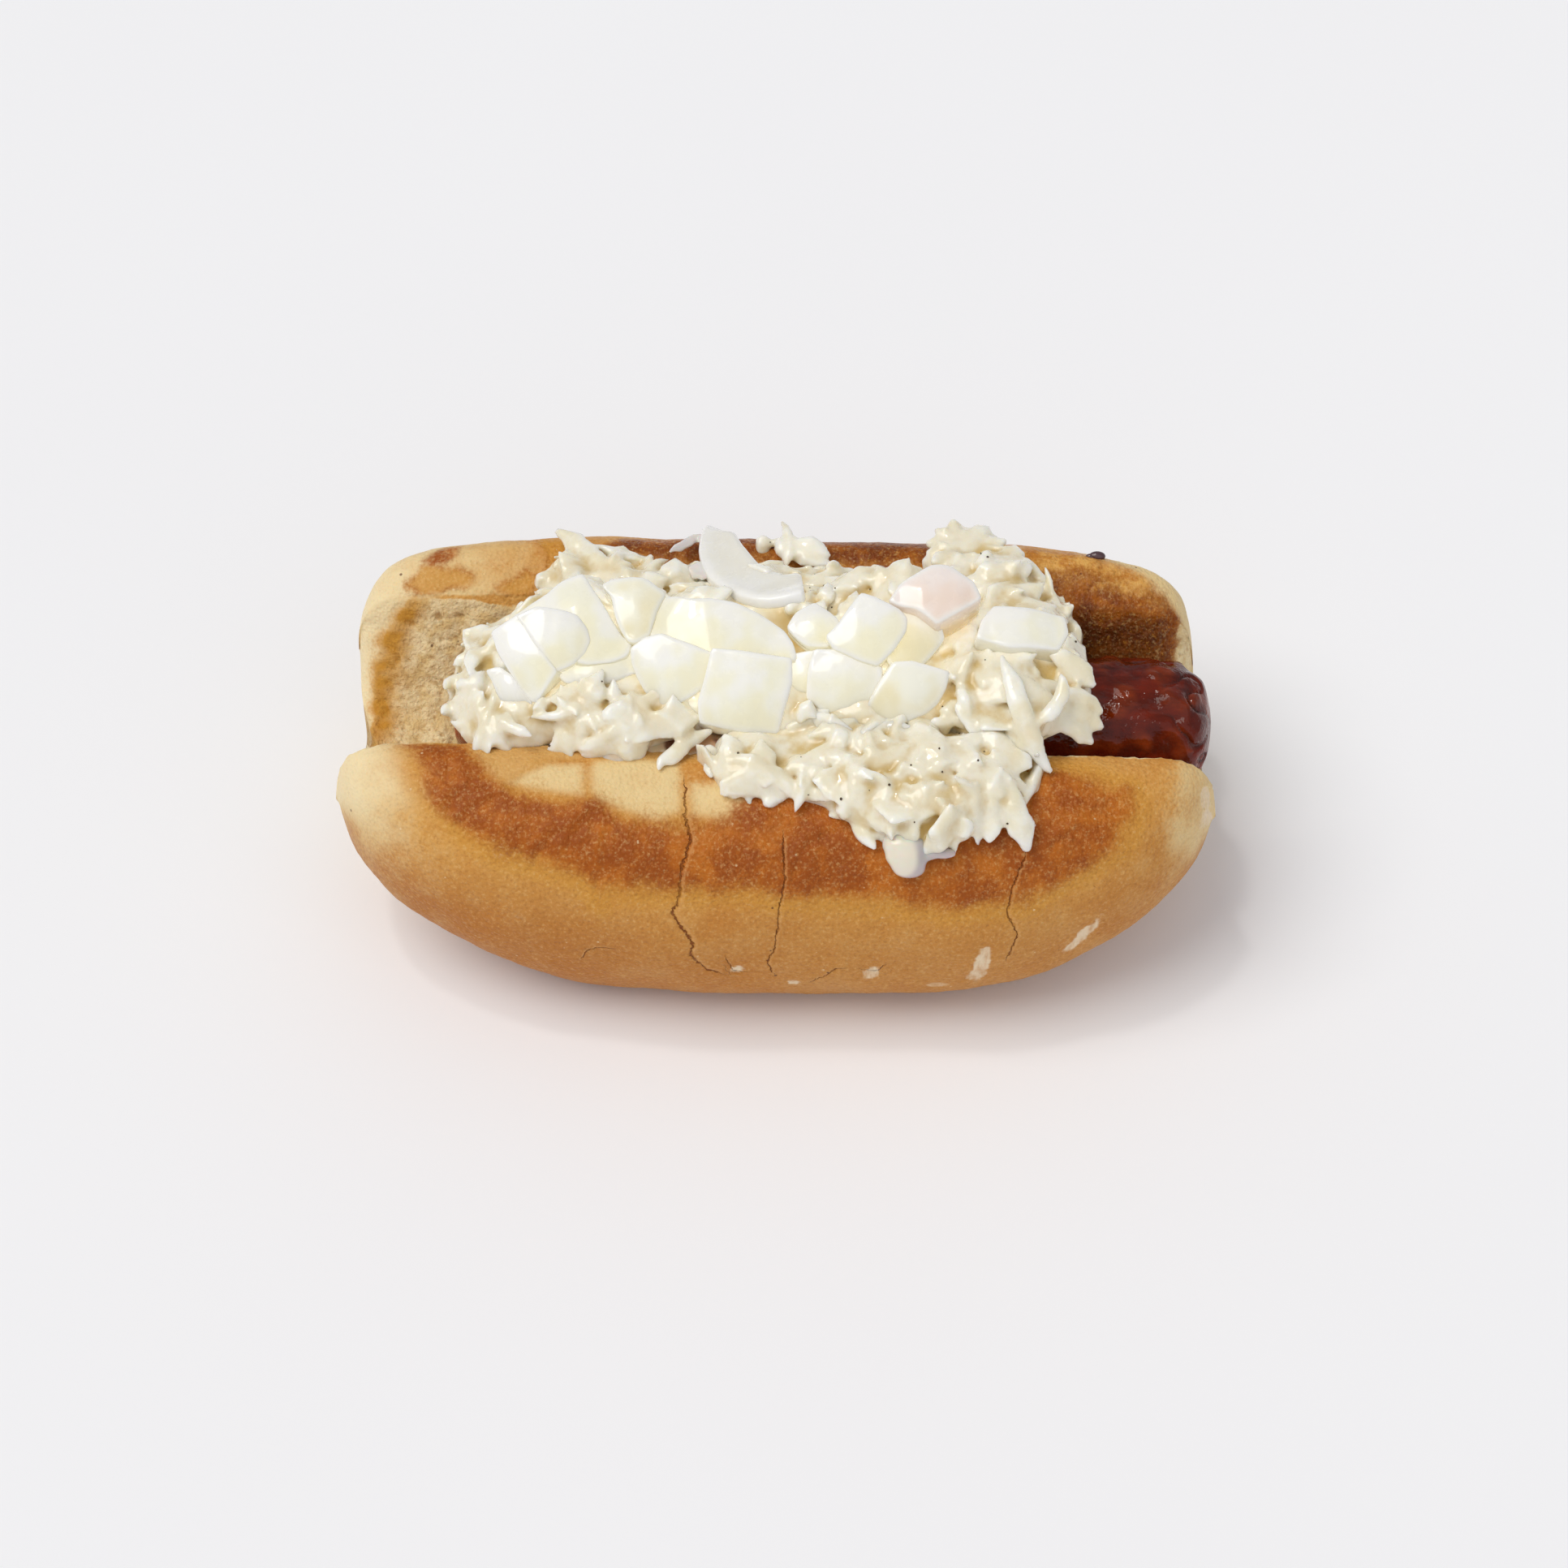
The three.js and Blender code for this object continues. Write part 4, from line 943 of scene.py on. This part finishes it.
def shred(place, outward, heading, length, width, thick):
    """A ragged strip of cabbage along a bowed, lifted path: points to test, its points and its faces."""
    sections, sides = 7, 6
    t = np.linspace(-0.5, 0.5, sections)
    across = np.cross(outward, heading)
    bow, lift, droop = rng.uniform(-0.25, 0.25), rng.uniform(0, 0.2), rng.uniform(0, 0.5)
    twist, cup = rng.uniform(-0.8, 0.8), rng.uniform(-0.1, 0.25)
    path = (place + heading * (t * length)[:, None] + across * (bow * length * (1 - 4 * t * t))[:, None]
            + outward * (thick * 0.4 + length * (lift * (t + 0.2) - droop * t * t))[:, None])
    shape = (0.25 + 0.75 * np.maximum(0, np.cos(np.pi * t)) ** 0.6) * rng.uniform(0.75, 1.25, sections)
    side = np.linspace(0, 2 * np.pi, sides, endpoint=False)
    tilt = (twist * t)[:, None]
    wide = np.cos(side)[None, :] * width / 2
    tall = np.sin(side)[None, :] * thick / 2 - cup * np.cos(side)[None, :] ** 2 * width
    right = wide * np.cos(tilt) - tall * np.sin(tilt)
    high = wide * np.sin(tilt) + tall * np.cos(tilt)
    points = path[:, None, :] + shape[:, None, None] * (
        right[..., None] * across[None, None, :] + high[..., None] * outward[None, None, :])
    return path[[3, 1, 5]], points.reshape(-1, 3), capped_faces(sections, sides)


def shard(place, outward, heading, length, width, thick):
    """A torn scrap of leaf, an uneven cupped polygon with a thin rim: as for a shred."""
    corners = int(rng.integers(5, 9))
    turn = (np.arange(corners) + rng.uniform(-0.3, 0.3, corners)) * 2 * np.pi / corners
    reach = rng.uniform(0.5, 1.25, corners)
    cup = rng.uniform(-0.12, 0.2)
    across = np.cross(outward, heading)
    rings = []
    for share, high in ((0.25, -0.5), (0.72, -0.5), (1, -0.12), (1, 0.12), (0.72, 0.5), (0.25, 0.55)):
        along_it, across_it = np.cos(turn) * reach * share * length / 2, np.sin(turn) * reach * share * width / 2
        rise = high * thick + cup * (along_it**2 + across_it**2) / width
        rings.append(place + heading * along_it[:, None] + across * across_it[:, None]
                     + outward * (rise + thick * 0.6)[:, None])
    tested = [place + outward * thick / 2, *(rings[2][::2] * 0.8 + place * 0.2)]
    return tested, np.concatenate(rings), capped_faces(len(rings), corners)


# The flakes of a heap: kind, the core's area for each one in square mm, (length, width, thickness),
# how much they tilt, and how far their middles stay from the onion.
SLAW_FLAKES = [
    (shard, 28, (10.0, 7.2, 1.7), 0.22, 1.0),
    (shred, 17, (10.0, 2.8, 2.1), 0.2, 0.8),
    (shard, 17, (5.0, 3.6, 2.1), 0.42, 0.4),
]
LAID_PIECES = {  # the larger strands and leaves of each heap, as (points passed through, width, thickness)
    "slaw_left": [
        ([(-40.8, 31.8, 50.6), (-36.8, 27.4, 51.6), (-32.8, 22.4, 52), (-30, 18.6, 52.4), (-28.2, 15.8, 53.4)],
         4.6, 1.1),
        ([(-38.6, 25.6, 51), (-37.4, 21, 51.8), (-35.8, 16.4, 53.4)], 3.6, 1.2),
        ([(-19.8, -21.6, 46.6), (-19.4, -19.8, 47.2), (-17.4, -18.6, 47.4), (-15, -15.4, 47.6), (-11, -13.4, 48)],
         3.0, 1.5),
        ([(-10.9, -22.8, 46.4), (-11, -19.8, 47.2), (-11.6, -16, 47.4)], 3.4, 1.3)],
    "slaw_right": [
        ([(37.4, -4.5, 58.6), (39.2, -9.4, 57.6), (40.6, -13.4, 55.8), (42.4, -16.6, 52.4), (44.3, -18.8, 48.8),
          (46.3, -20.2, 46.6)], 3.8, 1.5),
        ([(47.4, -7.2, 57.4), (47.9, -9.8, 55.8), (46.4, -12.8, 54.6), (43.2, -15.6, 53)], 2.8, 1.5),
        ([(45.4, -0.8, 56), (49.6, -2.6, 54.8), (53.8, -4.8, 51.4)], 4.2, 1.3),
        ([(48, -7, 53), (52, -7.6, 51), (55.2, -8, 48.6)], 3.6, 1.5),
        ([(47, -9, 52), (51.6, -10, 49.8), (55.4, -10.4, 47)], 3.8, 1.5),
        ([(47, -11, 51), (50.6, -12.2, 48.6), (53.6, -12.8, 46)], 3.6, 1.5),
        ([(31.4, 25, 51.2), (30.4, 30.4, 52), (29.8, 34.4, 52.2)], 3.2, 1.8),
        ([(32, 26, 51.4), (29, 29.8, 52), (26.8, 32.2, 52)], 3.0, 1.8),
        ([(31.4, 25.6, 51.6), (28.4, 24.2, 52.6), (26, 22.4, 53.4)], 3.4, 1.8),
        ([(33, 26.8, 51.4), (36.6, 28.8, 51.8), (39.4, 29.8, 51.9)], 3.0, 1.8)],
    "slaw_spill": [
        ([(37.8, -24, 50), (39.8, -28.6, 47.4), (41.6, -31.6, 43.4), (42.2, -32.4, 40.4)], 4.6, 1.6),
        ([(36.2, -27, 48.4), (36.2, -30.6, 45.6), (35.6, -32.6, 42.6)], 3.4, 1.6),
        ([(-8.9, -16, 50.2), (-7.6, -20, 50), (-7.4, -24, 47.4), (-6.8, -26, 45.2)], 4.4, 1.8),
        ([(-2.6, -17.6, 50.8), (-2.2, -22, 49.8), (-0.8, -26, 45.4)], 5.0, 1.8)],
    "slaw_scrap": [([(-1.8, 30.2, 49.6), (1.2, 29.6, 50.2), (3.8, 27.2, 50)], 3.6, 1.6)],
}


def ribbon(path, width, thick, sections=20, sides=12):
    """A tapered ribbon along the smooth curve through a path, lying flat to the upward side."""
    t = np.linspace(0, 1, sections)
    middle = along_curve(path, t)[0]
    heading = unit(np.gradient(middle, axis=0))
    across = unit(np.cross(heading, [0, -0.5, 0.87]))
    outward = np.cross(across, heading)
    turn = np.linspace(0, 2 * np.pi, sides, endpoint=False)
    taper = np.minimum(1, 0.2 + 3 * t) * np.minimum(1, 0.3 + 2.6 * (1 - t)) * (1 + 0.22 * noise_at(middle, 2.5, 9))
    flat = np.sign(np.cos(turn)) * np.abs(np.cos(turn)) ** 0.8
    rise = 0.5 * thick * np.sin(turn)[None, :] - 0.10 * width * taper[:, None] * flat[None, :] ** 2
    points = (middle[:, None, :] + across[:, None, :] * (taper[:, None] * flat[None, :] * width / 2)[..., None]
              + outward[:, None, :] * (rise * np.minimum(1, 2 * taper)[:, None])[..., None])
    points = points + 0.18 * np.stack([noise_at(points, 2.2, 4.0 + k) for k in range(3)], axis=-1)
    return points.reshape(-1, 3), capped_faces(sections, sides)


def slaw_heap(name, mounds, other_mounds):
    """An uneven core with flakes scattered over it, fused under a coat of dressing."""
    core = joined(name + "_core", [ball(*mound) for mound in mounds])
    fused(core, CORE_GRID)
    rough = points_of(core)
    swollen(core, 1.2 * noise_at(rough, 7.5, 3.0) + 0.4 * noise_at(rough, 3, 9) - 0.2)
    core_points = points_of(core)
    parts = [(core_points, [list(face.vertices) for face in core.data.polygons])]
    core.data.calc_loop_triangles()
    corners = core_points[np.array([triangle.vertices for triangle in core.data.loop_triangles])]
    bpy.data.objects.remove(core)
    facing = np.cross(corners[:, 1] - corners[:, 0], corners[:, 2] - corners[:, 0])
    area = np.linalg.norm(facing, axis=1)
    facing /= np.maximum(area, 1e-9)[:, None]
    middle = corners.mean(1)
    buried = np.zeros(len(area), bool)
    for centre, radii in other_mounds:
        buried |= np.linalg.norm((middle - centre) / radii, axis=1) < BURIED
    area = area / 2 * (facing[:, 2] > OVERHANG) * ~buried
    for kind, room, size, tilt, gap in SLAW_FLAKES:
        for triangle in rng.choice(len(area), int(area.sum() / room), p=area / area.sum()):
            outward = unit(facing[triangle] + rng.normal(0, tilt, 3))
            heading = unit(np.cross(outward, rng.normal(0, 1, 3)))
            tested, *flake = kind(middle[triangle], outward, heading, *(size * rng.uniform(0.7, 1.3, 3)))
            too_low = any(y < SPILL_START and z < SPILL_EDGE for _, y, z in tested)
            if not too_low and clear_of_onion(tested[0], gap) and all(
                    clear_of_onion(p, EASED) for p in tested[1:]):
                parts.append(flake)
    parts += [ribbon(*laid) for laid in LAID_PIECES.get(name, [])]
    heap = joined(name, parts)
    fused(heap, SLAW_GRID, SLAW_SMOOTHING)
    return heap


def smoothed(thing, times):
    """The points of a mesh after each has moved, so many times over, to the middle of its neighbours."""
    edges = np.empty(len(thing.data.edges) * 2, np.int32)
    thing.data.edges.foreach_get("vertices", edges)
    a, b = edges[::2], edges[1::2]
    points = points_of(thing)
    share = np.maximum(np.bincount(edges, minlength=len(points)), 1)
    for _ in range(times):
        points = np.stack([np.bincount(a, axis[b], len(axis)) + np.bincount(b, axis[a], len(axis))
                           for axis in points.T], axis=1) / share[:, None]
    return points


def hollow_of(thing, times):
    """How deep each vertex lies below the smoothed surface round it, in mm."""
    return ((smoothed(thing, times) - points_of(thing)) * normals_of(thing)).sum(1)


def dress(thing):
    """Dressing fills the creases and leaves edges proud; how deep each point lies is kept for painted shade and
    light.
    """
    for times, fill in DRESSING_FILLS:
        points = points_of(thing)
        crease = soft_step(hollow_of(thing, times), -0.03, 0.12)
        place_points(thing, points + fill * crease[:, None] * (smoothed(thing, times) - points))
    points = points_of(thing)
    swollen(thing, 0.15 * noise_at(points, 2.4, 5) + 0.03 * noise_at(points, 0.9, 12))
    keep_values(thing, hollow=np.clip(hollow_of(thing, HOLLOW_WIDTH) / HOLLOW_DEPTH, -1, 1))


creamy = Finish("creamy_slaw", Subsurface_Weight=0.5, Subsurface_Radius=(1.0, 0.85, 0.6), Subsurface_Scale=0.002,
                Coat_Weight=0.7, Coat_Roughness=0.08, IOR=1.42)
blotch = creamy.mottle(3.0, 3)
deep = creamy.sum(creamy.stored("hollow"), creamy.range(blotch, 0.3, 0.7, -0.2, 0.2))
colour = creamy.over(
    creamy.blend(creamy.range(blotch, 0.35, 0.65), (245, 239, 220), (238, 229, 202)),
    (creamy.range(creamy.mottle(7, 2), 0.6, 0.7, 0, 0.35), (244, 226, 186)),
    # painted shade: hollows darker and yellower; painted light: ridges lighter
    (creamy.range(deep, -0.05, 0.5, 0, 0.95), (212, 182, 112)),
    (creamy.range(deep, -0.2, -0.7, 0, 0.7), (254, 251, 242)))
creamy.bumps((creamy.mottle(0.9, 2), 0.03))
creamy.done(Base_Color=colour, Roughness=creamy.range(creamy.mottle(1.1, 3), 0.35, 0.65, 0.18, 0.36))

heaps = []
for name, mounds in [*SLAW_HEAPS.items(), ("slaw_scrap", SLAW_SCRAP)]:
    is_scrap = name == "slaw_scrap"
    others = [mound for other, group in SLAW_HEAPS.items() if other != name and not is_scrap for mound in group]
    heap = slaw_heap(name, mounds, others)
    dress(heap)
    heap.data.materials.append(creamy.material)
    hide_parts("slaw_bit" if is_scrap else "slaw")
    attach(heap, "root")
    heaps.append(heap)


# ==== Drips, scraps and pepper ===============================================================
# What fell beside the heap: a tongue of thin dressing run down the crust, a pink pool by the near
# rim, a half disc of onion, a clear strip of onion skin, a charred bead, and ground black pepper.

DRIP = [
    ((21.6, -33.2, 42.6), (3.8, 2.6, 2.4)), ((21.8, -34.6, 41.4), (3.5, 2.2, 2.4)),
    ((22.3, -35.4, 40.4), (3.2, 1.9, 2.2)), ((22.5, -35.9, 39.6), (2.9, 1.6, 1.9)),
    ((25.6, -34.1, 41.4), (2.2, 1.3, 1.1)), ((28.2, -34.0, 41.5), (2.4, 1.2, 0.9)),
]
PINK_POOL = [((-16.5, -13.4, 43.6), (10.5, 4.4, 2.8)), ((-27, -12.5, 43.4), (5, 4, 2.4))]
HALF_DISC = [(-2.9, 1.2), (2.9, 1.6), (2.9, -0.4), (1.6, -1.8), (-0.3, -2.3), (-2.0, -1.6)]
CHARRED_BEAD = [((55.8, 31.6, 46.7), (1.5, 0.9, 0.9)), ((54.6, 31.4, 46.7), (0.9, 0.6, 0.6))]
PEPPER_GRAINS, PEPPER_SIZE = 75, 0.22
PEPPER_SHARES = (0.25, 0.2, 0.25, 0.28, 0.02)  # of the grains, on each heap

drip = joined("dressing_drip", [ball(*lump) for lump in DRIP])
fused(drip, 0.3, 24)
thin = Finish("thin_dressing", Subsurface_Weight=0.6, Subsurface_Scale=0.002, Coat_Weight=0.8, Coat_Roughness=0.04,
              IOR=1.4, Roughness=0.15)
across, _, up = points_of(drip).T
keep_values(drip, thinned=soft_step(np.hypot((across - 21.0) / 3.7, (up - 42.4) / 4.4), 0.6, 0.95))
thin.done(drip, Base_Color=thin.blend(thin.stored("thinned"), (236, 230, 212), (196, 187, 186)))

pool = joined("pink_dressing", [ball(*lump) for lump in PINK_POOL])
fused(pool, 0.4, 3)
swollen(pool, 0.6 * noise_at(points_of(pool), 2.5, 8) - 0.7 * np.abs(noise_at(points_of(pool), 4, 2)))
juicy = Finish("pink_dressing", Subsurface_Weight=0.4, Subsurface_Scale=0.002, Coat_Weight=0.9, Coat_Roughness=0.05)
pink = juicy.over(
    juicy.blend(juicy.range(juicy.mottle(2.0, 3), 0.4, 0.6), (232, 206, 172), (206, 158, 118)),
    (juicy.range(juicy.mottle(3.2, 2), 0.58, 0.66, 0, 0.9), (98, 40, 28)))
juicy.done(pool, Base_Color=pink, Roughness=juicy.range(juicy.mottle(1, 2), 0.35, 0.65, 0.15, 0.3))

half_disc = onion_slab("onion_half_disc", 31, (-26.9, -17.0, 47.0), 30, 0, 1.5, 0.45, 0, HALF_DISC)
half_disc.data.materials.append(onion_flesh("stained_onion", (238, 220, 194), (226, 200, 166)))
skin_strip = joined("onion_skin_strip", [
    ribbon([(-20, 24.2, 53.2), (-17.8, 28, 51.2), (-15.6, 31, 50), (-13.6, 28.4, 51.2)], 1.8, 0.4),
    ribbon([(-16.6, 20.4, 53), (-14.4, 18.8, 54), (-12.4, 16.6, 55.4)], 3.4, 0.6)])
filmy = Finish("filmy_onion_skin", Subsurface_Weight=0.3, Subsurface_Scale=0.001, Coat_Weight=0.5, Coat_Roughness=0.1,
               IOR=1.36, Transmission_Weight=0.15, Roughness=0.25)
filmy.done(skin_strip, Base_Color=filmy.blend(filmy.mottle(1.5, 3), (238, 232, 228), (228, 218, 214)))

bead = joined("charred_bead", [ball(*lump) for lump in CHARRED_BEAD])
charred = Finish("charred_drop", Coat_Weight=0.8, Coat_Roughness=0.1, Roughness=0.35)
charred.done(bead, Base_Color=charred.blend(charred.mottle(0.8, 2), (42, 18, 22), (86, 46, 54)))

grains = []
for heap, share in zip(heaps, PEPPER_SHARES):
    surface, facing = points_of(heap), normals_of(heap)
    open_air = np.flatnonzero(facing[:, 2] > 0.35)
    for spot in rng.choice(open_air, max(1, round(PEPPER_GRAINS * share))):
        if clear_of_onion(surface[spot], 0.5):
            size = PEPPER_SIZE * rng.uniform(0.5, 1.3)
            points, faces = ball((0, 0, 0), size * rng.uniform(0.6, 1.2, 3), 7, 5)
            grains.append((points + surface[spot] + facing[spot] * size * 0.2, faces))
pepper = joined("pepper_grains", grains)
ground_pepper = Finish("black_pepper", Roughness=0.6)
ground_pepper.done(pepper, Base_Color=ground_pepper.blend(ground_pepper.mottle(0.5, 2), (46, 36, 28), (104, 84, 60)))

for thing in (drip, pool, half_disc, skin_strip):
    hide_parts("slaw")
for thing, slot in ((drip, "slaw"), (pool, "slaw"), (half_disc, "onion"), (skin_strip, "onion"), (bead, "bun"),
                    (pepper, "slaw")):
    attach(thing, "root")


# ==== Studio =================================================================================
# A plain pale floor, a wide soft light from the upper left, a weaker one like a white wall on the
# near side and a small faint one overhead, and a camera that looks down on the near side.

FLOOR_SIZE = 3000
CAMERA_TARGET = Vector((0.75, -0.5, 20)) * MM
CAMERA_DISTANCE = 590 * MM
CAMERA_ELEVATION, CAMERA_AZIMUTH = math.radians(48.7), math.radians(1.5)
LENS, SENSOR = 75.95, 36.0

half = FLOOR_SIZE / 2
floor = solid_mesh("floor", [(-half, -half, 0), (half, -half, 0), (half, half, 0), (-half, half, 0)], [(0, 1, 2, 3)])
ground = Finish("pale_floor", Roughness=0.6, Specular_IOR_Level=0.2)
ground.done(floor, Base_Color=ground.blend(ground.mottle(120, 2), (250, 251, 254), (247, 247, 250)))

world = bpy.data.worlds.new("soft_room")
bpy.context.scene.world = world
world.use_nodes = True
room = world.node_tree.nodes["Background"].inputs
room["Color"].default_value, room["Strength"].default_value = paint(246, 247, 250), 0.45


def soft_sun(name, towards, strength, spread_degrees, tint):
    """A very wide, distant light, as from a large window or a white wall."""
    lamp = bpy.data.lights.new(name, "SUN")
    lamp.energy, lamp.angle, lamp.color = strength, math.radians(spread_degrees), paint(*tint)[:3]
    holder = bpy.data.objects.new(name, lamp)
    holder.rotation_euler = Vector(towards).to_track_quat("-Z", "Y").to_euler()
    bpy.context.scene.collection.objects.link(holder)


soft_sun("window", (0.48, 0.12, -0.86), 1.35, 42, (255, 252, 246))
soft_sun("wall", (-0.25, 0.75, -0.6), 0.42, 80, (250, 251, 255))
soft_sun("window_gap", (0.26, -0.14, -0.95), 0.22, 5, (255, 252, 246))

camera = bpy.data.objects.new("camera", bpy.data.cameras.new("camera"))
camera.data.lens, camera.data.sensor_width = LENS, SENSOR
back = Vector((math.sin(CAMERA_AZIMUTH) * math.cos(CAMERA_ELEVATION),
               -math.cos(CAMERA_AZIMUTH) * math.cos(CAMERA_ELEVATION), math.sin(CAMERA_ELEVATION)))
camera.location = CAMERA_TARGET + CAMERA_DISTANCE * back
camera.rotation_euler = (-back).to_track_quat("-Z", "Y").to_euler()
camera.data.clip_start, camera.data.clip_end = 0.01, 20
bpy.context.scene.collection.objects.link(camera)
bpy.context.scene.camera = camera
bpy.context.scene.view_settings.view_transform = "Standard"
